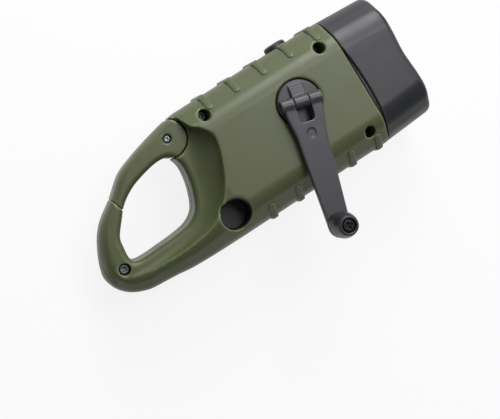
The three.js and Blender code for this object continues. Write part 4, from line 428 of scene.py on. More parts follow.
def outer_form(x, y, z):
    """The case without its splits: body, dishes on both faces and the hole of the loop."""
    half = np.interp(x, height_line[:, 0], height_line[:, 1])
    slope = np.interp(x, height_line[1:, 0],
                      np.diff(height_line[:, 1]) / np.maximum(np.diff(height_line[:, 0]), 1e-3))
    width = np.interp(x, left_line[:, 0], left_line[:, 1]) \
        - np.interp(x, right_line[:, 0], right_line[:, 1])
    high = np.abs(z - MID)
    level = (high - half) / np.sqrt(1 + slope ** 2)
    side = read_plan(case_plan, x, y)
    plain = np.minimum(np.minimum(SHOULDER, half / 2), width / 4)
    gate_side = np.minimum(np.minimum(SHOULDER, np.maximum(half - 7, 3)), width / 4)
    middle = np.interp(x, left_line[:, 0], left_line[:, 1]) - width / 2
    lean = np.clip((y - middle) / LEAN_WIDTH + 0.5, 0, 1)
    shoulder = plain + (gate_side - plain) * lean
    soft = BODY_ROUND * np.clip(shoulder / SHOULDER, 0.5, 1)
    slant = (side + level + shoulder) / math.sqrt(2)
    body = both(both(side, slant, soft), level, soft)
    rim, floor = read_plan(dish_rim, x, y), read_plan(dish_floor, x, y)
    reach = np.maximum(floor, 0)
    share = reach / np.maximum(reach + np.maximum(-rim, 0), 1e-3)
    share = np.where(rim > 0, 1 + rim / 6, share)
    span = np.maximum(reach + np.abs(rim), 1.5)
    drop = 1 - (high - LOOP_HALF) / DISH_RISE
    bowl = (share ** 2 + drop ** 2 - 1) / (2 * np.hypot(share / span, drop / DISH_RISE) + 0.02)
    form = both(body, -bowl, DISH_ROUND)
    return both(form, -read_plan(hole_plan, x, y), HOLE_ROUND)


GATE_PIVOT = (-17.1, 19.6)
GATE_HUB = 7.2
SPLIT_AT = (-45.1, 8.9)
SPLIT_SLOPE = 3.4 / 12
SPLIT_GAP = 0.18
HUB_GAP = 0.45
BAR_SIDES = (2.9, 40)
BAR_ROOT = math.radians(236)
SCREWS = [(47.1, 18.0), (47.1, -18.0), (-1.8, 19.8), (-55.6, -11.96)]
POSTS = [(26.99, -13.47), (5.99, 15.5), (-11.04, 7.56)]
SHAFT_SEATS = [((12.896, 0.821), 29.9, 32.5), ((-0.917, -4.207), 26.6, 29.2)]
CELL_RESTS = [(0.7, 10.3), (0.7, -10.3), (48.5, 10.3), (48.5, -10.3)]
CRANK_PLACE = (29.8, 5.35)
WELL_PLACE = (-11.3518, -16.494)
WELL_RADIUS = 5.9
WELL_FLOOR = 23.2
BUTTON_X = 36.9
BUTTON_HOLE = 4.55
BUTTON_WALL = 18.6
TONGUE_HALF = 3.0
TONGUE_RADIUS = 6.8
PIN_HOLE = 1.6
SPRING_ROOM = 3.3
SPRING_LEVELS = (MID - 2.3, MID + 2.3)
CAVITY_REAR = -1.4
BAY_HALF = 6.6
RECESS_RADIUS = 8.85
RECESS_FLOOR = 32.9
CRANK_BORE = 4.15
SCREW_WELL = 2.2
SCREW_SEAT = 22.5
SCREW_HOLE = 1.2
WINDOW_MIDDLE = 25
WINDOW_LONG = 22      # half of the window's length
WINDOW_WIDE = 15      # half of its width
WINDOW_STEP = 1.3     # depth of the step that the window lies on
WINDOW_LEDGE = 2.0
SEAM = 0.15   # each half stops this far from the parting plane, which leaves a dark line
FAR = 60      # past the outside of the case

# Bosses and blind holes of the halves: place, radius, foot and top
UPPER_BOSSES = [(CRANK_PLACE, 10.35, 30.9, TOP), (CRANK_PLACE, 6.0, 29.7, TOP),
                (WELL_PLACE, 7.4, 21.4, TOP),
                *((place, 3.7, MID, TOP) for place in SCREWS),
                *((place, 2.6, MID, TOP) for place in POSTS),
                *((place, 2.6, foot, TOP) for place, foot, _ in SHAFT_SEATS)]
UPPER_HOLES = [*((place, 1.05, 0, 24.2) for place in POSTS),
               *((place, 1.15, 0, top) for place, _, top in SHAFT_SEATS)]
LOWER_BOSSES = [*((place, 3.3, 0, MID) for place in SCREWS),
                *((place, 0.9, 1, 4.9) for place in CELL_RESTS)]
LOWER_HOLES = [*((place, 1.15, 7.6, MID + 1) for place in SCREWS[:3]),
               (SCREWS[3], 1.15, 11.0, MID + 1)]


def gate_plan_table(gap, hub):
    """Plan of the gate: its bar up to the split, and the round hub."""
    def split(y):
        return (SPLIT_AT[0] - gap - (y - SPLIT_AT[1]) * SPLIT_SLOPE, y)

    reach = hub + 1.0
    root = (GATE_PIVOT[0] + reach * math.cos(BAR_ROOT), GATE_PIVOT[1] + reach * math.sin(BAR_ROOT))
    inner, outer = BAR_SIDES
    bar = outline_distance(np.array([split(inner), root, GATE_PIVOT, (GATE_PIVOT[0], outer),
                                     split(outer)]))
    xs = np.arange(PLAN_LOW[0], PLAN_HIGH[0], PLAN_STEP)[:, None]
    ys = np.arange(PLAN_LOW[1], PLAN_HIGH[1], PLAN_STEP)[None, :]
    return np.minimum(bar, away(xs, ys, GATE_PIVOT) - hub)


gate_room = gate_plan_table(SPLIT_GAP, GATE_HUB + HUB_GAP)
gate_plan = gate_plan_table(0.0, GATE_HUB)
bay_plan = outline_distance(np.array([
    (a * LOOP_LENGTH, b * HALF_WIDTH) for a, b in
    [(0, 0.66), (-0.115, 0.61), (-0.168, 0.485), (-0.226, 0.38), (-0.246, 0.23), (-0.257, 0),
     (-0.272, -0.31), (-0.24, -0.62), (-0.154, -0.81), (0, -0.85)]]))


def inner_section(x, y, z, inset, rear):
    """The straight part of the body's section, moved in by the wall."""
    side = np.abs(y) - HALF_WIDTH + inset
    level = np.abs(z - MID) - HALF_HEIGHT + inset
    slant = (side + level + SHOULDER - inset * (2 - math.sqrt(2))) / math.sqrt(2)
    return both(both(both(side, slant, 2.0), level, 2.0), rear - x, 0.8)


def tongue(x, y, z):
    """Ear of the housing that the gate's fork straddles."""
    neck = np.maximum(np.abs(x - GATE_PIVOT[0] - 5) - 3.9, np.abs(y - GATE_PIVOT[1] + 1.5) - 7.2)
    plan = np.minimum(away(x, y, GATE_PIVOT) - TONGUE_RADIUS, neck)
    return both(plan, np.abs(z - MID) - TONGUE_HALF, 0.3)


def housing(x, y, z):
    """Both halves: walls, tongue and front face, and the outer form that bounds them."""
    outer = outer_form(x, y, z)
    shell = both(outer, -read_plan(gate_room, x, y), 0.35)
    hollow = np.minimum(inner_section(x, y, z, WALL, CAVITY_REAR),
                        np.maximum(read_plan(bay_plan, x, y), np.abs(z - MID) - BAY_HALF))
    shell = np.maximum(shell, -hollow)
    shell = np.minimum(shell, np.maximum(tongue(x, y, z), outer))
    return both(shell, x - CASE_FRONT, 0.5), outer


def shared_cuts(shell, x, y, z):
    """The button's hole and the room for the gate's pin and spring, in both halves."""
    button = np.hypot(x - BUTTON_X, z - MID) - BUTTON_HOLE
    shell = both(shell, -np.maximum(button, BUTTON_WALL - y), 0.4)
    shell = both(shell, -post(x, y, z, GATE_PIVOT, PIN_HOLE, -FAR, FAR), 0.3)
    return np.maximum(shell, -post(x, y, z, GATE_PIVOT, SPRING_ROOM, *SPRING_LEVELS))


def upper_half(x, y, z):
    shell, outer = housing(x, y, z)
    shell = np.maximum(either(shell, posts(x, y, z, UPPER_BOSSES), 0.3), outer)
    for place in SCREWS:
        shell = both(shell, -post(x, y, z, place, SCREW_WELL, SCREW_SEAT, FAR), 0.5)
        shell = np.maximum(shell, -post(x, y, z, place, SCREW_HOLE, 0, FAR))
    shell = np.maximum(shell, -posts(x, y, z, UPPER_HOLES))
    shell = both(shell, -post(x, y, z, WELL_PLACE, WELL_RADIUS, WELL_FLOOR, FAR, 0.8), 0.7)
    shell = both(shell, -post(x, y, z, CRANK_PLACE, RECESS_RADIUS, RECESS_FLOOR, FAR), 0.55)
    shell = np.maximum(shell, -post(x, y, z, CRANK_PLACE, CRANK_BORE, 0, FAR))
    return both(shared_cuts(shell, x, y, z), MID + SEAM - z, 0.35)


def window_room(x, y, growth):
    """Plan of the solar window with its round corners, grown by a margin."""
    return both(np.abs(x - WINDOW_MIDDLE) - WINDOW_LONG - growth,
                np.abs(y) - WINDOW_WIDE - growth, 1.6)


def lower_half(x, y, z):
    shell, outer = housing(x, y, z)
    shell = np.maximum(either(shell, posts(x, y, z, LOWER_BOSSES), 0.3), outer)
    shell = np.maximum(shell, -posts(x, y, z, LOWER_HOLES))
    shell = both(shell, -np.maximum(window_room(x, y, 0.3), z - WINDOW_STEP), 0.4)
    through = np.maximum(window_room(x, y, -WINDOW_LEDGE), np.abs(z - 1.0) - 1.6)
    shell = np.maximum(shell, -through)
    return both(shared_cuts(shell, x, y, z), z - MID + SEAM, 0.35)


STEP = 0.5   # size of the mesh's cells, fine enough for the soft edges
upper_shell = moulding("upper_housing", upper_half, (-66, -27.5, 17), (55, 27.5, 37.5), STEP,
                       olive_abs)
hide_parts("upper_shell")
lower_shell = moulding("lower_housing", lower_half, (-66, -27.5, -1.5), (55, 27.5, 19), STEP,
                       olive_abs)
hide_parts("lower_shell")
for shell in (upper_shell, lower_shell):
    mark_edges(shell)
    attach(shell, "case")

# ------------------------------------------------------------
# Grip ribs.
# Raised bars of the same moulding that wrap both shoulders from the face to the parting
# line, five to a side; the second on the button side leaves room for the button.
RIB_HALF = 1.3
RIB_PROUD = 0.6
RIB_SUNK = 0.5
RIB_INNER = 20.4
RIB_FRONT = 49.1
RIB_PITCH = 11.9
RIB_ENDS = (0.2, 5.6)   # over the parting line; the second is above the button
CREASE = TOP - SHOULDER
RIB_PROFILE = [(-1.0, -RIB_SUNK), (-1.0, 0.12), (-0.95, 0.33), (-0.82, 0.5), (-0.6, 0.58),
               (-0.2, RIB_PROUD), (0.2, RIB_PROUD), (0.6, 0.58), (0.82, 0.5), (0.95, 0.33),
               (1.0, 0.12), (1.0, -RIB_SUNK)]


def outward(points, faces):
    """Faces turned so that the closed mesh holds a positive volume."""
    p = np.asarray(points, float)
    volume = sum(np.dot(p[f[0]], np.cross(p[f[i]], p[f[i + 1]])) for f in faces
                 for i in range(1, len(f) - 1))
    return p, [f[::-1] for f in faces] if volume < 0 else faces


def skin(rings):
    """Closed mesh through rings of equally many points, with a face on each end."""
    count = len(rings[0])
    points = np.vstack(rings)
    faces = [[a * count + i, a * count + (i + 1) % count,
              (a + 1) * count + (i + 1) % count, (a + 1) * count + i]
             for a in range(len(rings) - 1) for i in range(count)]
    last = (len(rings) - 1) * count
    faces += [list(range(count))[::-1], [last + i for i in range(count)]]
    return outward(points, faces)


def rib_mesh(side, level, end):
    """One rib at x = 0 on the side and face given by their signs; it ends near mid height."""
    path = [(RIB_INNER + d * 0.7071, d) for d in (0.03, 0.12, 0.3, 0.55, 0.9, 1.3, 2.5, 4.0, 5.5)]
    stations = [((y, HALF_WIDTH + CREASE - y), math.pi / 4, d) for y, d in path]
    for angle in np.linspace(math.pi / 4, 0, 7):
        stations.append(((HALF_WIDTH - BODY_ROUND + BODY_ROUND * math.cos(angle),
                          CREASE - 0.99 + BODY_ROUND * math.sin(angle)), angle, 9))
    stations += [((HALF_WIDTH, z), 0.0, 9) for z in np.linspace(CREASE - 1.3, MID + end, 6)]
    rings = []
    for (y, z), angle, d in stations:
        half = RIB_HALF * math.sqrt(max(1 - max(1 - d / RIB_HALF, 0) ** 2, 0))
        low = min(half / RIB_HALF, 1) ** 0.5
        ring = []
        for across, out in RIB_PROFILE:
            lift = out * low if out > 0 else out
            ring.append((across * half, side * (y + lift * math.cos(angle)),
                         MID + level * (z - MID + lift * math.sin(angle))))
        rings.append(ring)
    return skin(rings)


def copies_tree():
    """Geometry Nodes: copies of one object on the points of the mesh, each turned at random."""
    tree = bpy.data.node_groups.new("copies_on_points", "GeometryNodeTree")
    for label, kind in (("Points", "Geometry"), ("Copied Object", "Object"),
                        ("Largest Turn", "Float"), ("Seed", "Int"), ("Finish", "Material")):
        tree.interface.new_socket(label, in_out="INPUT", socket_type="NodeSocket" + kind)
    tree.interface.new_socket("Copies", in_out="OUTPUT", socket_type="NodeSocketGeometry")
    given = tree.nodes.new("NodeGroupInput").outputs
    source = add(tree, "GeometryNodeObjectInfo", {"transform_space": "ORIGINAL"},
                 {"Object": given["Copied Object"]})
    turn = add(tree, "FunctionNodeRandomValue", {"data_type": "FLOAT"},
               {"Seed": given["Seed"]})
    tree.links.new(given["Largest Turn"], turn.inputs[3])
    angles = add(tree, "ShaderNodeCombineXYZ", {}, {"Z": turn.outputs[1]})
    copies = add(tree, "GeometryNodeInstanceOnPoints", {},
                 {"Points": given["Points"], "Instance": source.outputs["Geometry"],
                  "Rotation": angles.outputs[0]})
    real = add(tree, "GeometryNodeRealizeInstances", {}, {"Geometry": copies.outputs[0]})
    done = add(tree, "GeometryNodeSetMaterial", {}, {"Geometry": real.outputs[0],
                                                     "Material": given["Finish"]})
    add(tree, "NodeGroupOutput", {}, {"Copies": done.outputs[0]})
    return tree


on_points = copies_tree()


def copies(name, places, shape, material, largest_turn=0.0, seed=1):
    """Plain mesh of a shape repeated at the places, in millimetres."""
    source = make_piece(name + "_one", *shape, material)
    host = make_piece(name + "_host", places, [], material, smooth=False)
    modifier = host.modifiers.new("copies", "NODES")
    modifier.node_group = on_points
    values = {"Copied Object": source, "Largest Turn": largest_turn, "Seed": seed,
              "Finish": material}
    for item in on_points.interface.items_tree:
        if item.in_out == "INPUT" and item.name in values:
            modifier[item.identifier] = values[item.name]
    state = bpy.context.evaluated_depsgraph_get()
    mesh = bpy.data.meshes.new_from_object(host.evaluated_get(state), depsgraph=state)
    host.modifiers.remove(modifier)
    mesh.name = name
    piece = bpy.data.objects.new(name, mesh)
    scene.collection.objects.link(piece)
    for spare in (host, source):
        bpy.data.objects.remove(spare)
    return piece


rib_x = [RIB_FRONT - RIB_PITCH * i for i in range(5)]
for level_name, level in (("upper", 1), ("lower", -1)):
    for side_name, side in (("left", 1), ("right", -1)):
        whole = [x for i, x in enumerate(rib_x) if side < 0 or i != 1]
        row = copies(f"grip_ribs_{level_name}_{side_name}", [(x, 0, 0) for x in whole],
                     rib_mesh(side, level, RIB_ENDS[0]), olive_abs)
        mark_edges(row)
        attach(row, "case")
    short = copies(f"button_rib_{level_name}", [(rib_x[1], 0, 0)],
                   rib_mesh(1, level, RIB_ENDS[1]), olive_abs)
    mark_edges(short)
    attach(short, "case")

# ------------------------------------------------------------
# Gate of the loop.
# A bar of the same ABS with a round fork at its root, which turns on a steel pin and is
# pushed shut by a torsion spring between the fork's cheeks.
FORK_ROOM = 7.275
FORK_HALF = 3.3


def gate_form(x, y, z):
    form = both(outer_form(x, y, z), read_plan(gate_plan, x, y), 0.5)
    fork = np.maximum(away(x, y, GATE_PIVOT) - FORK_ROOM, np.abs(z - MID) - FORK_HALF)
    form = np.maximum(form, -fork)
    return both(form, -post(x, y, z, GATE_PIVOT, PIN_HOLE, -FAR, FAR), 0.5)


gate = moulding("loop_gate", gate_form, (-48, 3, 7), (-9, 27.5, 29), STEP * 0.8, olive_abs)
mark_edges(gate)
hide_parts("gate")
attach(gate, "gate")

# ------------------------------------------------------------
# Screws.
# Self-tapping pan head screws with a cross recess, cold headed and zinc plated. Four hold
# the halves, three the gear plate and one the crank gear; the knob's pin has such a head too.


def worked_metal(name, colour, second, roughness, mark_mm, mark_depth_mm, stretch=(1, 1, 1)):
    """Bare or plated metal: tone that drifts, fine marks of the tool along one direction."""
    material, tree = bare_material(name)
    spot = add(tree, "ShaderNodeTexCoord").outputs["Object"]
    laid = add(tree, "ShaderNodeMapping", {"Scale": stretch}, {"Vector": spot})
    drift = add(tree, "ShaderNodeTexNoise", {"Scale": 1 / (6 * MM), "Detail": 2.0},
                {"Vector": spot})
    marks = add(tree, "ShaderNodeTexNoise", {"Scale": 1 / (mark_mm * MM), "Detail": 3.0},
                {"Vector": laid.outputs[0]})
    mix = add(tree, "ShaderNodeMix", {"data_type": "RGBA", 6: linear(colour), 7: linear(second)},
              {0: drift.outputs[0]})
    shine = add(tree, "ShaderNodeMapRange",
                {"From Min": 0.3, "From Max": 0.7, "To Min": roughness - 0.06,
                 "To Max": roughness + 0.08}, {0: marks.outputs[0]})
    bump = add(tree, "ShaderNodeBump", {"Strength": 1.0, "Distance": mark_depth_mm * MM},
               {"Height": marks.outputs[0]})
    body = add(tree, "ShaderNodeBsdfPrincipled", {"Metallic": 1.0},
               {"Base Color": mix.outputs[2], "Roughness": shine.outputs[0],
                "Normal": bump.outputs[0]})
    add(tree, "ShaderNodeOutputMaterial", {}, {"Surface": body.outputs[0]})
    return material


# Zinc plated steel: bluish silver, dull in the low places, fine turning marks
zinc_steel = worked_metal("zinc_plated_steel", "8b9097", "767c84", 0.36, 0.25, 0.004)
THREAD_LEAD = 0.8


def screw_shape(head, height, shank, length, recess=0.9):
    """Pan head from z = 0 up, threaded shank down; the thread is one rising groove."""
    def form(x, y, z):
        r = np.hypot(x, y)
        crown = both(r - head, z - height, 0.45)
        crown = both(crown, -z, 0.15)
        slots = np.minimum(both(np.abs(x) - 0.26 - 0.1 * z, np.abs(y) - recess, 0.1),
                           both(np.abs(y) - 0.26 - 0.1 * z, np.abs(x) - recess, 0.1))
        crown = both(crown, -np.maximum(slots, height * 0.35 - z), 0.08)
        wave = np.mod(z / THREAD_LEAD + np.arctan2(y, x) / (2 * math.pi), 1)
        taper = np.clip((z + length) / 1.6, 0.15, 1)
        body = (r - shank * taper + 0.16 * np.abs(2 * wave - 1)) * 0.8
        body = np.maximum(body, np.maximum(z - 0.1, -length - z))
        return np.minimum(crown, body)
    reach = head + 0.4
    return surface(form, (-reach, -reach, -length - 0.4), (reach, reach, height + 0.4), 0.16)


PAN_RADIUS = 1.9
PAN_HEIGHT = 1.5
HEAD_SEAT = 22.8
PLATE_LOW = 15.95
long_screw = screw_shape(PAN_RADIUS, PAN_HEIGHT, 1.0, HEAD_SEAT - 8.5)
short_screw = screw_shape(PAN_RADIUS, PAN_HEIGHT, 1.0, HEAD_SEAT - 12.0)
front_screws = copies("case_screws", [(x, y, HEAD_SEAT) for x, y in SCREWS[:3]], long_screw,
                      zinc_steel, largest_turn=1.5, seed=4)
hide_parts("case_screw_1", "case_screw_2", "case_screw_3")
tail_screw = copies("tail_screw", [(*SCREWS[3], HEAD_SEAT)], short_screw, zinc_steel, 1.5, 9)
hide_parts("case_screw_4")
for screws in (front_screws, tail_screw):
    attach(screws, "case")
plate_points, plate_faces = screw_shape(PAN_RADIUS, 1.2, 0.9, 7.75)
plate_screws = copies("plate_screws", [(x, y, PLATE_LOW) for x, y in POSTS],
                      (plate_points * (1, -1, -1), plate_faces), zinc_steel, 1.5, 2)
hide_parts("plate_screw_1", "plate_screw_2", "plate_screw_3")
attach(plate_screws, "case")

# ------------------------------------------------------------
# Lamp head.
# Shell moulded in black ABS with a satin face; it plugs into the case with a spigot and
# leaves a dark gap line there. Its front rim is rounded and dips a little along the flats.
HEAD_REAR = 53.95
HEAD_FRONT = 74.6
HEAD_NARROWING = 1.1
HEAD_FLATTENING = 0.9
HEAD_WALL = 2.2
HEAD_ROUND = 3.4
RIM_ROUND = 1.8
RIM_DIP = 0.7
DIP_HALF = 7
LIP = 1.4
MOUTH_INSET = 3.0
SPIGOT_REAR = HEAD_REAR - 2.95
SPIGOT_FRONT = 56.1
SPIGOT_INSET = 2.3
SPIGOT_BORE = 3.8
CAVITY_START = 56.15
LAMP_ROOM_START = 55.85
SHADOW_STEP = 1.3     # length of the dark step at the rear edge, in the middle of its arc
SHADOW_MIDDLE = -3
SHADOW_HALF = 17
SHADOW_DEPTH = 1.0
SHADOW_LEVEL = 9

# Black ABS: neutral, faintly blue, broad soft highlights from an even satin face
# Its paler edge colour is a painted highlight along the outer edges.
black_abs = moulded_plastic("satin_black_abs", "222327", "28292e", 0.41, 0.5, 0.01,
                            edge_highlight="4c4d53")


def head_section(x, y, z, inset):
    share = np.clip((x - HEAD_REAR) / (HEAD_FRONT - HEAD_REAR), 0, 1)
    side = np.abs(y) - HALF_WIDTH + HEAD_NARROWING * share + inset
    level = np.abs(z - MID) - HALF_HEIGHT + HEAD_FLATTENING * share + inset
    slant = (side + level + SHOULDER - inset * (2 - math.sqrt(2))) / math.sqrt(2)
    soft = HEAD_ROUND - inset * 0.5
    return both(both(side, slant, soft), level, soft)


def head_shell(x, y, z):
    dip = RIM_DIP * np.exp(-(y / DIP_HALF) ** 2) * np.clip((np.abs(z - MID) - 8) / 6, 0, 1)
    form = both(head_section(x, y, z, 0), x - HEAD_FRONT + dip, RIM_ROUND)
    form = both(form, HEAD_REAR - x, 0.5)
    spigot = np.maximum(SPIGOT_REAR - x, x - SPIGOT_FRONT)
    form = np.minimum(form, both(head_section(x, y, z, SPIGOT_INSET), spigot, 0.4))
    bore = np.maximum(head_section(x, y, z, SPIGOT_BORE), x - CAVITY_START)
    form = np.maximum(form, -bore)
    arc = np.clip(1 - ((y - SHADOW_MIDDLE) / SHADOW_HALF) ** 2, 0, 1)
    step = np.maximum(x - (HEAD_REAR + SHADOW_STEP * arc),
                      -SHADOW_DEPTH - head_section(x, y, z, 0))
    form = both(form, -np.maximum(step, SHADOW_LEVEL - np.abs(z - MID)), 0.2)
    room = np.maximum(LAMP_ROOM_START - x, x - HEAD_FRONT + LIP)
    form = np.maximum(form, -np.maximum(head_section(x, y, z, HEAD_WALL), room))
    return both(form, -np.maximum(head_section(x, y, z, MOUTH_INSET), CAVITY_START - x), 0.5)


head = moulding("lamp_head", head_shell, (50, -27, -1), (76, 27, 37), 0.42, black_abs)
mark_edges(head)
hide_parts("bezel")
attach(head, "case")

# ------------------------------------------------------------
# Lens and its gasket.
# The lens is a flat plate of clear polycarbonate, pressed against a thin ring of black
# silicone behind the lip of the head.
LENS_FRONT = 72.1
LENS_THICK = 1.6
HEAD_FIT = 2.5
GASKET_SIDES = (72.4, 72.9)
GASKET_WIDTH = 1.6


def clear_plastic(name, tint, roughness, haze_mm):
    """Clear moulded plastic: full transmission with a faint waviness of the surface."""
    material, tree = bare_material(name)
    spot = add(tree, "ShaderNodeTexCoord").outputs["Object"]
    wave = add(tree, "ShaderNodeTexNoise", {"Scale": 1 / (haze_mm * MM), "Detail": 2.0},
               {"Vector": spot})
    shine = add(tree, "ShaderNodeMapRange", {"From Min": 0.3, "From Max": 0.7, "To Min": roughness,
                                             "To Max": roughness + 0.03}, {0: wave.outputs[0]})
    bump = add(tree, "ShaderNodeBump", {"Strength": 0.4, "Distance": 0.01 * MM},
               {"Height": wave.outputs[0]})
    clear = add(tree, "ShaderNodeBsdfPrincipled",
                {"IOR": 1.585, "Transmission Weight": 1.0, "Base Color": linear(tint)},
                {"Roughness": shine.outputs[0], "Normal": bump.outputs[0]})
    add(tree, "ShaderNodeOutputMaterial", {}, {"Surface": clear.outputs[0]})
    return material


# Clear polycarbonate, polished mould: glassy, a trace of blue from the dye
clear_polycarbonate = clear_plastic("clear_polycarbonate", "f6faff", 0.02, 8.0)
# Silicone rubber, moulded: nearly black, with a soft broad sheen
silicone = moulded_plastic("black_silicone", "1a1b1d", "222326", 0.5, 0.8, 0.01, 4.0)


def lens_plate(x, y, z):
    thick = np.maximum(LENS_FRONT - LENS_THICK - x, x - LENS_FRONT)
    return both(head_section(x, y, z, HEAD_FIT), thick, 0.3)


def gasket_ring(x, y, z):
    rear, front = GASKET_SIDES
    inside = head_section(x, y, z, HEAD_FIT + GASKET_WIDTH)
    ring = both(head_section(x, y, z, HEAD_FIT), -inside, 0.1)
    return both(ring, np.maximum(rear - x, x - front), 0.15)


lens = moulding("front_lens", lens_plate, (69.5, -24, 1.5), (73, 24, 34.5), 0.45,
                clear_polycarbonate)
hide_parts("lens")
gasket = moulding("lens_seal", gasket_ring, (72, -24, 1.5), (73.3, 24, 34.5), 0.25, silicone)
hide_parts("lens_gasket")
for piece in (lens, gasket):
    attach(piece, "case")

# ------------------------------------------------------------
# Reflector.
# One ABS moulding with three parabolic cups in a flat plate, coated with aluminium in a
# vacuum, so that the cups shine like mirrors and the plate shows a trace of orange peel.
PLATE_FRONT = 70.2
PLATE_HALF = 0.5      # half of its thickness
CUP_REAR = 58.6
CUP_DEPTH = 11.6
CUP_RADIUS = 7.0
CUP_THROAT = 3.1
CUP_WALL = 0.8
LEG_PLACE = (15.4, 21.1)
LEG_RADIUS = 1.3
LEG_REAR = 57.3
CUPS = [(0.0, 24.2), (9.6, 12.6), (-9.6, 12.6)]

# Vacuum-coated aluminium over plastic: bright, nearly white metal with a soft ripple
mirror_coat = worked_metal("vacuum_coated_aluminium", "e4e6e8", "dadde0", 0.12, 3.0, 0.012)


def reflector_form(x, y, z):
    plate = both(head_section(x, y, z, HEAD_FIT),
                 np.abs(x - PLATE_FRONT + PLATE_HALF) - PLATE_HALF, 0.2)
    share = np.clip((x - CUP_REAR) / CUP_DEPTH, -0.02, 1)
    bowl = np.sqrt(CUP_THROAT ** 2 + (CUP_RADIUS ** 2 - CUP_THROAT ** 2) * share)
    outside = np.full(x.shape, 1e3)
    inside = np.full(x.shape, 1e3)
    for cy, cz in CUPS:
        r = np.hypot(y - cy, z - cz)
        outside = np.minimum(outside, r - bowl - CUP_WALL)
        inside = np.minimum(inside, r - bowl)
    deep = np.maximum(CUP_REAR - x, x - PLATE_FRONT + 0.3)
    form = either(plate, np.maximum(outside * 0.9, deep), 0.2)
    length = np.maximum(LEG_REAR - x, x - PLATE_FRONT + PLATE_HALF)
    for side in (-1, 1):
        leg = np.hypot(y - side * LEG_PLACE[0], z - LEG_PLACE[1]) - LEG_RADIUS
        form = np.minimum(form, np.maximum(leg, length))
    return both(form, -inside * 0.9, 0.18)


reflector = moulding("cup_reflector", reflector_form, (56.5, -24, 1.5), (71, 24, 34.5), 0.36,
                     mirror_coat)
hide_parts("reflector")
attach(reflector, "case")

# ------------------------------------------------------------
# Lamps.
# Three 5 mm light-emitting diodes: clear epoxy domes cast over a lead frame, whose cup
# holds a dab of yellow phosphor. They sit on the lamp board and reach into the cups.
LED_REAR = 57.3
DOME_RADIUS = 2.5
DOME_START = 5.9


def lathe(profile, sides=48):
    """Turned body about Z through (radius, height) rows; closed on the axis or on itself."""
    looped = profile[0][0] > 1e-6
    angles = np.linspace(0, 2 * math.pi, sides, endpoint=False)
    points, index = [], []
    for r, h in profile:
        if r < 1e-6:
            index.append([len(points)] * sides)
            points.append((0.0, 0.0, h))
        else:
            index.append(list(range(len(points), len(points) + sides)))
            points += [(r * math.cos(a), r * math.sin(a), h) for a in angles]
    faces = []
    pairs = list(zip(index, index[1:])) + ([(index[-1], index[0])] if looped else [])
    for one, two in pairs:
        for i in range(sides):
            ring = [one[i], one[(i + 1) % sides], two[(i + 1) % sides], two[i]]
            face = [v for n, v in enumerate(ring) if v != ring[n - 1]]
            if len(face) > 2:
                faces.append(face)
    return outward(points, faces)


def along_x(shape):
    points, faces = shape
    return np.stack([points[:, 2], points[:, 0], points[:, 1]], 1), faces


def along_y(shape):
    points, faces = shape
    return np.stack([points[:, 1], points[:, 2], points[:, 0]], 1), faces


def corner_round(r0, h0, r1, h1, bulge=1):
    """Quarter round from one profile point to the next."""
    rows = []
    for t in np.linspace(0, math.pi / 2, 5):
        s, c = math.sin(t), math.cos(t)
        rows.append((r0 + (r1 - r0) * (1 - c), h0 + (h1 - h0) * s) if bulge > 0
                    else (r0 + (r1 - r0) * s, h0 + (h1 - h0) * (1 - c)))
    return rows


dome = [(DOME_RADIUS * math.cos(a), DOME_START + DOME_RADIUS * math.sin(a))
        for a in np.linspace(0, math.pi / 2, 9)[:-1]]
led_shape = lathe([(0, 0), (2.75, 0), (2.85, 0.1), (2.85, 0.9), (2.75, 1.0), (2.52, 1.02)] + dome
                  + [(0, 8.4)], 32)
# Clear epoxy, cast: like glass with a slightly duller skin
cast_epoxy = clear_plastic("cast_epoxy", "fbfcf2", 0.03, 3.0)
leds = copies("led_domes", [(LED_REAR, y, z) for y, z in CUPS], along_x(led_shape), cast_epoxy)
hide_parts("led_1", "led_2", "led_3")
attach(leds, "case")

# Silvered lead frame with a dab of phosphor in silicone: chalky yellow, matt
phosphor = moulded_plastic("yellow_phosphor", "e3cf58", "d8c04a", 0.7, 0.3, 0.02, 1.0)
die_shape = lathe([(0, 3.2), (0.7, 3.2), (1.15, 4.1), (1.15, 4.3), (0.95, 4.42), (0, 4.5)], 20)
dies = copies("led_dies", [(LED_REAR, y, z) for y, z in CUPS], along_x(die_shape), phosphor)
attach(dies, "case")

# ------------------------------------------------------------
# Crank hub.
# A disc of glass-filled nylon that turns in the round recess; the knuckle on it holds the
# arm's hinge pin. Its shaft and square reach down into the first gear.
ARM_TURN = math.radians(-105)
HINGE_Z = 38.2
BARREL = 2.4
KNUCKLE = 2.7
DISC_RADIUS = 8.25
DISC_LOW = 33.2
DISC_TOP = 36.25
SHAFT_RADIUS = 4
SHAFT_LOW = 29.7
SQUARE_HALF = 2.5
SQUARE_LOW = 26.78
JOIN = 34             # inside the disc: end of the shaft, foot of the lug, floor of the pocket
HINGE_BORE = 1.05
HINGE_ROOM = 2.75
POCKET_HALF = 2.9
POCKET_START = 2.0
LUG_TOP = 38.1
LUG_LENGTH = 6.7

# Glass-filled nylon, moulded: charcoal with a violet cast, flow marks, duller than the head
# Its paler edge colour is a painted highlight along the outer edges.
filled_nylon = moulded_plastic("glass_filled_nylon", "343237", "3b393f", 0.4, 0.35, 0.016, 5.0,
                               edge_highlight="68666c")


def along_arm(x, y):
    """Plan coordinates along and across the crank arm."""
    u, v = x - CRANK_PLACE[0], y - CRANK_PLACE[1]
    c, s = math.cos(ARM_TURN), math.sin(ARM_TURN)
    return u * c + v * s, v * c - u * s


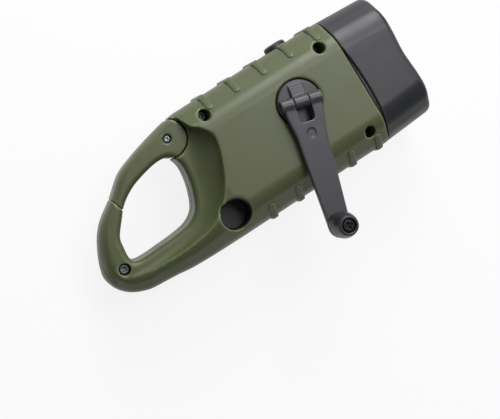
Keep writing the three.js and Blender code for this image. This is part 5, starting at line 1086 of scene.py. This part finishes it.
def hub_form(x, y, z):
    u, v = along_arm(x, y)
    r = np.hypot(u, v)
    hinge = np.hypot(u, z - HINGE_Z)
    disc = both(r - DISC_RADIUS, z - DISC_TOP, 0.5)
    disc = both(disc, DISC_LOW - z, 0.2)
    disc = both(disc, -both(hinge - HINGE_ROOM, KNUCKLE - np.abs(v)), 0.2)
    pocket = both(both(np.abs(v) - POCKET_HALF, POCKET_START - u, 0.4), JOIN - z, 0.2)
    disc = both(disc, -pocket, 0.2)
    knuckle = both(hinge - BARREL, np.abs(v) - KNUCKLE, 0.3)
    top = np.maximum(z - LUG_TOP, (z - LUG_TOP - (u + 3.05) * 0.3) * 0.96)
    toe = np.maximum(top, (-u - LUG_LENGTH + (z - DISC_TOP) * 0.62) * 0.85)
    lug = both(both(toe, u, 0.3), np.abs(v) - KNUCKLE, 0.35)
    form = either(either(disc, np.maximum(lug, JOIN - z), 0.4), knuckle, 0.35)
    shaft = np.maximum(r - SHAFT_RADIUS, np.maximum(SHAFT_LOW - z, z - JOIN))
    square = np.maximum(np.abs(u), np.abs(v)) - SQUARE_HALF
    square = np.maximum(square, np.maximum(SQUARE_LOW - z, z - 30))
    form = np.minimum(np.minimum(form, shaft), square)
    form = np.maximum(form, HINGE_BORE - hinge)
    return np.maximum(form, -np.maximum(r - 1.15, z - 33.6))


hub = moulding("crank_disc", hub_form, (20.5, -3.9, 26), (39, 14.6, 41.2), 0.26, filled_nylon)
mark_edges(hub)
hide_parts("crank_hub")
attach(hub, "crank")

# ------------------------------------------------------------
# Crank arm.
# A flat lever of the same filled nylon with soft edges. Two barrels at its root straddle the
# knuckle; the rounded slot and an ejector mark show on its face.
REACH = 46.59
ARM_LOW = 37.4
ARM_HIGH = 40.0
ARM_END = 4.1
BARRELS_HALF = 7.8
SLOT_HALF = 3.0
SLOT_LENGTH = 7.4
SLOT_ROUND = 1.6
MARK_REACH = 11.8
MARK_RADIUS = 1.65
MARK_FLOOR = 39.75
ARM_HALVES = [(-3, 7.15), (3.6, 7.15), (6.0, 6.85), (9.0, 6.2), (12.0, 5.7), (REACH, ARM_END)]
KNOB_BORE = 1.65


def arm_form(x, y, z):
    u, v = along_arm(x, y)
    hinge = np.hypot(u, z - HINGE_Z)
    half = np.interp(u, *zip(*ARM_HALVES))
    tip = np.hypot(u - REACH, v)
    plate = both(np.where(u > REACH, tip - ARM_END, (np.abs(v) - half) * 0.99), -u, 0.2)
    plate = both(both(plate, z - ARM_HIGH, 0.55), ARM_LOW - z, 0.35)
    form = either(plate, both(hinge - BARREL, np.abs(v) - BARRELS_HALF, 0.35), 0.5)
    slot = both(np.abs(v) - SLOT_HALF, np.abs(u) - SLOT_LENGTH, SLOT_ROUND)
    form = np.maximum(both(form, -slot, 0.3), HINGE_BORE - hinge)
    mark = both(np.hypot(u - MARK_REACH, v) - MARK_RADIUS, MARK_FLOOR - z, 0.05)
    return np.maximum(both(form, -mark, 0.06), KNOB_BORE - tip)


arm = moulding("crank_lever", arm_form, (12.5, -45, 35), (39.5, 11, 41.4), 0.28, filled_nylon)
mark_edges(arm)
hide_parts("crank_arm")
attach(arm, "arm")

# ------------------------------------------------------------
# Knob and the crank's pins.
# The knob is a tapered grip of black polypropylene that spins on a stepped steel pin; with the
# arm folded it hangs in the well. A plain pin joins hub and arm, a screw holds the first gear.
KNOB_AT = (CRANK_PLACE[0] + REACH * math.cos(ARM_TURN),
           CRANK_PLACE[1] + REACH * math.sin(ARM_TURN))
KNOB_LOW = 40.3
KNOB_RINGS = 3
FIRST_RING = 1.4
RING_PITCH = 1.75
KNOB_PIN_SEAT = 50.45
GEAR_SCREW_SEAT = 26.48

# Polypropylene, moulded: near black, waxy, with slightly lighter scuffs
polypropylene = moulded_plastic("black_polypropylene", "202124", "292a2d", 0.38, 0.9, 0.012,
                                3.0)


def moved(shape, x, y, z):
    points, faces = shape
    return points + np.array((x, y, z)), faces


grip = [(KNOB_BORE, 0.0), (4.35, 0.0)] + corner_round(4.35, 0.0, 4.8, 0.45, -1)
for ring in range(KNOB_RINGS):
    h = FIRST_RING + ring * RING_PITCH
    grip += [(4.8, h), (4.55, h + 0.2), (4.5, h + 0.4), (4.55, h + 0.6), (4.8, h + 0.8)]
grip += [(4.8, 6.02), (4.65, 7.2), (4.42, 8.4), (4.1, 9.7), (3.78, 10.9), (3.6, 11.55)]
grip += corner_round(3.6, 11.55, 3.15, 12.03)
grip += [(2.75, 12.03), (2.6, 11.9), (2.6, 9.83), (KNOB_BORE, 9.83)]
knob = make_piece("crank_knob", *moved(lathe(grip, 64), *KNOB_AT, KNOB_LOW), polypropylene)
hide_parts("knob")
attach(knob, "knob")

# Steel, blackened in an oxide bath: soft black with a brown cast
black_steel = worked_metal("black_oxide_steel", "35363a", "2c2a2c", 0.36, 0.3, 0.004)
knob_pin = make_piece("knob_screw", *moved(screw_shape(2.3, 1.5, 1.5, 12.9, recess=1.15),
                                           *KNOB_AT, KNOB_PIN_SEAT), black_steel)
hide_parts("knob_pin")
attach(knob_pin, "arm")

pin = lathe([(0, -7.65), (0.7, -7.65), (0.9, -7.45), (0.9, 7.45), (0.7, 7.65), (0, 7.65)], 24)
points, faces = along_y(pin)
c, s = math.cos(ARM_TURN), math.sin(ARM_TURN)
points = np.stack([points[:, 0] * c - points[:, 1] * s, points[:, 0] * s + points[:, 1] * c,
                   points[:, 2]], 1)
hinge_pin = make_piece("hinge_rod", *moved((points, faces), *CRANK_PLACE, HINGE_Z), zinc_steel)
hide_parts("hinge_pin")
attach(hinge_pin, "crank")

points, faces = screw_shape(3.0, 1.5, 1.0, 4.2)
hub_screw = make_piece("gear_screw", *moved((points * (1, -1, -1), faces), *CRANK_PLACE,
                                            GEAR_SCREW_SEAT), zinc_steel)
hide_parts("hub_screw")
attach(hub_screw, "crank")

# ------------------------------------------------------------
# Shade lining of the knob's well.
# A thin black cup laid into the well, a dark sheet that paints the shade deep in the well.
# Its rim follows the slope of the face just below the edge of the well.
LINING = 0.36
LINING_FIT = 0.03
LINING_SUNK = 0.9


def shade_liner_form(x, y, z):
    r = away(x, y, WELL_PLACE)
    side, floor = r - WELL_RADIUS + LINING_FIT, WELL_FLOOR + LINING_FIT
    cup = both(side, floor - z, 0.8)
    room = both(side + LINING, floor + LINING - z, 0.5)
    return both(both(cup, -room, 0.05), outer_form(x, y, z) + LINING_SUNK, 0.1)


low = (WELL_PLACE[0] - 6.4, WELL_PLACE[1] - 6.4, 22.6)
high = (WELL_PLACE[0] + 6.4, WELL_PLACE[1] + 6.4, 36)
# Black silicone sheet where the well is only in shade: painted shade.
shade_liner = moulding("well_lining", shade_liner_form, low, high, 0.17, silicone)
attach(shade_liner, "case")

# ------------------------------------------------------------
# Button.
# A dome of black silicone rubber in its round hole, with a flange inside the wall and a stem
# on the switch. The crown is hollowed a little in its middle.
cap = [(0, -5.5), (1.9, -5.5), (2.0, -5.4), (2.0, -3.8), (4.8, -3.8), (4.9, -3.7), (4.9, -2.7),
       (4.8, -2.6), (4.35, -2.6), (4.35, 0.9), (4.3, 1.2), (4.12, 1.5), (3.8, 1.72), (3.2, 1.9),
       (2.4, 2.02), (1.6, 2.04), (0.8, 2.0), (0, 1.97)]
button = make_piece("rubber_button", *moved(along_y(lathe(cap, 64)), BUTTON_X, HALF_WIDTH, MID),
                    silicone)
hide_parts("button")
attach(button, "button")

# ------------------------------------------------------------
# Gate pin and spring.
# The pin is turned steel with a centre mark in each end; the torsion spring has three curls
# of blue-black spring wire round it, one leg in the housing and one along the gate.

# Spring steel, oil tempered: dark blue-grey, glossy along the drawn wire
spring_steel = worked_metal("tempered_spring_wire", "4c5058", "3d4148", 0.3, 0.15, 0.003)

pin = [(0, -7.4), (0.35, -7.6), (1.25, -7.6), (1.45, -7.4), (1.45, 7.4), (1.25, 7.6), (0.35, 7.6),
       (0, 7.3)]
gate_pin = make_piece("gate_rod", *moved(lathe(pin, 32), *GATE_PIVOT, MID), zinc_steel)
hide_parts("gate_pin")
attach(gate_pin, "case")


def wire(path, radius, sides=12):
    """Round wire along a path, closed at both ends."""
    p = np.array(path, float)
    ahead = np.gradient(p, axis=0)
    ahead /= np.linalg.norm(ahead, axis=1, keepdims=True)
    normal = np.cross(ahead[0], (0.31, 0.17, 0.93))
    rings = []
    for point, along in zip(p, ahead):
        normal = normal - along * np.dot(normal, along)
        normal /= np.linalg.norm(normal)
        other = np.cross(along, normal)
        rings.append([point + radius * (math.cos(a) * normal + math.sin(a) * other)
                      for a in np.linspace(0, 2 * math.pi, sides, endpoint=False)])
    return skin(rings)


COIL_RADIUS = 2.5
COIL_TURNS = 3
COIL_PITCH = 1.05
TURN_STEPS = 28
WIRE_RADIUS = 0.28
low = MID - COIL_TURNS * COIL_PITCH / 2
path = [(GATE_PIVOT[0] + d, GATE_PIVOT[1] - COIL_RADIUS, low) for d in (5.2, 4.2, 3.2, 2.2, 1.2)]
for i in range(COIL_TURNS * TURN_STEPS + 1):
    angle = math.radians(-90) - i * 2 * math.pi / TURN_STEPS
    path.append((GATE_PIVOT[0] + COIL_RADIUS * math.cos(angle),
                 GATE_PIVOT[1] + COIL_RADIUS * math.sin(angle), low + i * COIL_PITCH / TURN_STEPS))
path += [(GATE_PIVOT[0] - d, GATE_PIVOT[1] - COIL_RADIUS, path[-1][2])
         for d in (1.2, 2.6, 4.2, 6.2, 8.4)]
spring = make_piece("gate_coil_spring", *wire(path, WIRE_RADIUS), spring_steel)
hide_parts("gate_spring")
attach(spring, "case")

# ------------------------------------------------------------
# Gear train.
# A crank gear and two double idlers moulded in white acetal run on turned brass shafts,
# riveted in a stamped brass plate under the knob well.


def dress(material, *names):
    """Gives pieces of the frame their finish."""
    for name in names:
        mesh = nodes[name].data
        if not mesh.materials:
            mesh.materials.append(material)
        for place in nodes[name].material_slots:
            place.material = material


# Acetal, moulded: milky white and waxy, slightly glossy, no grain
acetal = moulded_plastic("white_acetal", "dcd9cd", "e3e0d6", 0.3, 1.2, 0.006, 5.0)
dress(acetal, "crank_gear", "idler_1", "idler_2")
# Brass, turned: warm yellow with fine rings of the tool
turned_brass = worked_metal("turned_brass", "c9a75c", "b4914a", 0.27, 0.2, 0.003, (0.2, 0.2, 1))
dress(turned_brass, "idler_1_shaft", "idler_2_shaft", "rotor_pinion")
# Brass sheet, stamped: the same metal with long rolling marks
rolled_brass = worked_metal("rolled_brass_sheet", "c4a45e", "b2944f", 0.33, 0.3, 0.003,
                            (0.05, 1, 1))
dress(rolled_brass, "gear_plate")

# ------------------------------------------------------------
# Dynamo.
# A ring magnet on a steel shaft turns inside two pressed claw-pole cups of steel, with the
# winding of enamelled copper wire between them.
WINDING_PITCH = 0.32      # drawn about twice the real wire, which is too fine to show
BANDS_PER_UNIT = 0.314    # the scale at which the band pattern repeats once a metre

# Ground steel rod: bright with faint rings
ground_steel = worked_metal("ground_steel_rod", "c2c5c9", "adb1b6", 0.2, 0.15, 0.002, (0.2, 0.2, 1))
dress(ground_steel, "rotor_shaft")
# Ferrite, sintered and ground: charcoal, dull, with small pits
ferrite = moulded_plastic("sintered_ferrite", "38383b", "434347", 0.62, 0.35, 0.03, 1.5)
dress(ferrite, "rotor_magnet")
# Sheet steel, pressed and nickel plated: grey with a warm cast and drawing marks
pressed_steel = worked_metal("nickel_plated_steel", "aca79d", "979288", 0.36, 0.4, 0.005,
                             (1, 1, 0.1))
dress(pressed_steel, "stator_cup", "stator_cap")

# Copper wire under clear enamel: deep orange, each turn a glossy rounded band; painted
# shade darkens the grooves between turns and a painted highlight lightens the crowns
enamelled_copper, tree = bare_material("enamelled_copper_wire")
spot = add(tree, "ShaderNodeTexCoord").outputs["Object"]
turns = add(tree, "ShaderNodeTexWave",
            {"bands_direction": "Z", "Scale": BANDS_PER_UNIT / (WINDING_PITCH * MM),
             "Distortion": 0.6, "Detail": 1.0}, {"Vector": spot})
mix = add(tree, "ShaderNodeMix", {"data_type": "RGBA", 6: linear("7c3517"), 7: linear("c8703a")},
          {0: turns.outputs["Fac"]})
bump = add(tree, "ShaderNodeBump", {"Strength": 1.0, "Distance": 0.1 * MM},
           {"Height": turns.outputs["Fac"]})
wound = add(tree, "ShaderNodeBsdfPrincipled", {"Metallic": 1.0, "Roughness": 0.3},
            {"Base Color": mix.outputs[2], "Normal": bump.outputs[0]})
add(tree, "ShaderNodeOutputMaterial", {}, {"Surface": wound.outputs[0]})
dress(enamelled_copper, "stator_coil")

# ------------------------------------------------------------
# Boards, battery and switch.
# Etched glass-epoxy boards: a green one with the rectifier, a white one for the lamps. The
# coin cells are shrink wrapped; a small tact switch sits behind the button.
TRACK_PITCH = 1.9
PAD_PITCH = 2.54


def stripes(tree, socket, pitch_mm, share, start_mm=0.0):
    """1 on evenly spaced lines across one coordinate, each a share of the pitch wide."""
    count = add(tree, "ShaderNodeMath", {"operation": "MULTIPLY_ADD", 1: 1 / (pitch_mm * MM),
                                         2: -start_mm / pitch_mm}, {0: socket})
    part = add(tree, "ShaderNodeMath", {"operation": "FRACT"}, {0: count.outputs[0]})
    return add(tree, "ShaderNodeMath", {"operation": "LESS_THAN", 1: share},
               {0: part.outputs[0]}).outputs[0]


def circuit_board(name, mask, over_track, across, along):
    """Etched board: tracks show through the solder mask, tinned pads lie in a grid."""
    material, tree = bare_material(name)
    spot = add(tree, "ShaderNodeTexCoord").outputs["Object"]
    axes = add(tree, "ShaderNodeSeparateXYZ", {}, {0: spot}).outputs
    drift = add(tree, "ShaderNodeTexNoise", {"Scale": 1 / (7 * MM), "Detail": 0.0},
                {"Vector": spot})
    some = add(tree, "ShaderNodeMath", {"operation": "GREATER_THAN", 1: 0.5}, {0: drift.outputs[0]})
    track = add(tree, "ShaderNodeMath", {"operation": "MULTIPLY"},
                {0: stripes(tree, axes[across], TRACK_PITCH, 0.3), 1: some.outputs[0]})
    pads = add(tree, "ShaderNodeMath", {"operation": "MULTIPLY"},
               {0: stripes(tree, axes[across], PAD_PITCH, 0.4, 0.6),
                1: stripes(tree, axes[along], PAD_PITCH, 0.4, 0.4)})
    bare = add(tree, "ShaderNodeMath", {"operation": "SUBTRACT", "use_clamp": True},
               {0: pads.outputs[0], 1: some.outputs[0]})
    masked = add(tree, "ShaderNodeMix", {"data_type": "RGBA", 6: linear(mask),
                                         7: linear(over_track)}, {0: track.outputs[0]})
    colour = add(tree, "ShaderNodeMix", {"data_type": "RGBA", 7: linear("b9b6ae")},
                 {0: bare.outputs[0], 6: masked.outputs[2]})
    raised = add(tree, "ShaderNodeMath", {"operation": "MAXIMUM"}, {0: track.outputs[0],
                                                                   1: bare.outputs[0]})
    bump = add(tree, "ShaderNodeBump", {"Strength": 0.6, "Distance": 0.05 * MM},
               {"Height": raised.outputs[0]})
    board = add(tree, "ShaderNodeBsdfPrincipled", {"IOR": 1.5, "Roughness": 0.32},
                {"Base Color": colour.outputs[2], "Metallic": bare.outputs[0],
                 "Normal": bump.outputs[0]})
    add(tree, "ShaderNodeOutputMaterial", {}, {"Surface": board.outputs[0]})
    return material


# Green solder mask over copper on glass epoxy
dress(circuit_board("green_solder_mask", "16492b", "1f6a3d", 1, 0), "main_board")
# White solder mask, which sends stray light back to the cups
dress(circuit_board("white_solder_mask", "e6e7e2", "d6d8d0", 1, 2), "led_board")
# Polyvinyl chloride film, shrunk on: glossy blue with soft wrinkles
dress(moulded_plastic("blue_shrink_film", "27508c", "214479", 0.24, 2.2, 0.12, 6.0), "battery_pack")
# Phenolic resin, pressed: dark brown, dull
dress(moulded_plastic("brown_phenolic", "2b2320", "352c28", 0.48, 0.4, 0.02, 2.0), "switch_body")
dress(acetal, "switch_plunger")

# ------------------------------------------------------------
# Solar cell and its window.
# Strips of silicon on the face that lies down, with thin and broad lines of printed silver,
# behind a clear window that is glued into the lower half.
STRIP = 7.88
LINE_PITCH = 1.7
CELL_START = 5.3
GRAIN_MM = 2.2

# Silicon under its blue anti-glare coat: nearly black, violet where the coat is thin
silicon, tree = bare_material("amorphous_silicon_cell")
spot = add(tree, "ShaderNodeTexCoord").outputs["Object"]
axes = add(tree, "ShaderNodeSeparateXYZ", {}, {0: spot}).outputs
grains = add(tree, "ShaderNodeTexVoronoi", {"Scale": 1 / (GRAIN_MM * MM)}, {"Vector": spot})
tone = add(tree, "ShaderNodeMix", {"data_type": "RGBA", 6: linear("1a2142"), 7: linear("232a52")},
           {0: grains.outputs["Distance"]})
printed = add(tree, "ShaderNodeMath", {"operation": "MAXIMUM"},
              {0: stripes(tree, axes[0], STRIP, 0.07, CELL_START - 0.28),
               1: stripes(tree, axes[1], LINE_PITCH, 0.1)})
colour = add(tree, "ShaderNodeMix", {"data_type": "RGBA", 7: linear("a9adb4")},
             {0: printed.outputs[0], 6: tone.outputs[2]})
shine = add(tree, "ShaderNodeMapRange", {"To Min": 0.16, "To Max": 0.42}, {0: printed.outputs[0]})
cell = add(tree, "ShaderNodeBsdfPrincipled", {"IOR": 1.6},
           {"Base Color": colour.outputs[2], "Roughness": shine.outputs[0],
            "Metallic": printed.outputs[0]})
add(tree, "ShaderNodeOutputMaterial", {}, {"Surface": cell.outputs[0]})
dress(silicon, "solar_panel")
# Acrylic sheet, cut and polished: clear with a faint cool cast
clear_acrylic = clear_plastic("clear_acrylic_sheet", "f4f8fb", 0.04, 9.0)
dress(clear_acrylic, "solar_window")

# ------------------------------------------------------------
# Leads.
# Stranded copper in soft PVC, red and black, from the dynamo, the battery and the lamps to
# the main board.

# Soft PVC, extruded: satin, with slow waves along the lead
red_lead = moulded_plastic("red_pvc_lead", "a3221f", "8f1b1a", 0.4, 1.3, 0.03, 2.5)
black_lead = moulded_plastic("black_pvc_lead", "202022", "29292b", 0.42, 1.3, 0.03, 2.5)
dress(red_lead, "lamp_lead_1", "battery_lead_1", "coil_lead_1")
dress(black_lead, "lamp_lead_2", "battery_lead_2", "coil_lead_2")
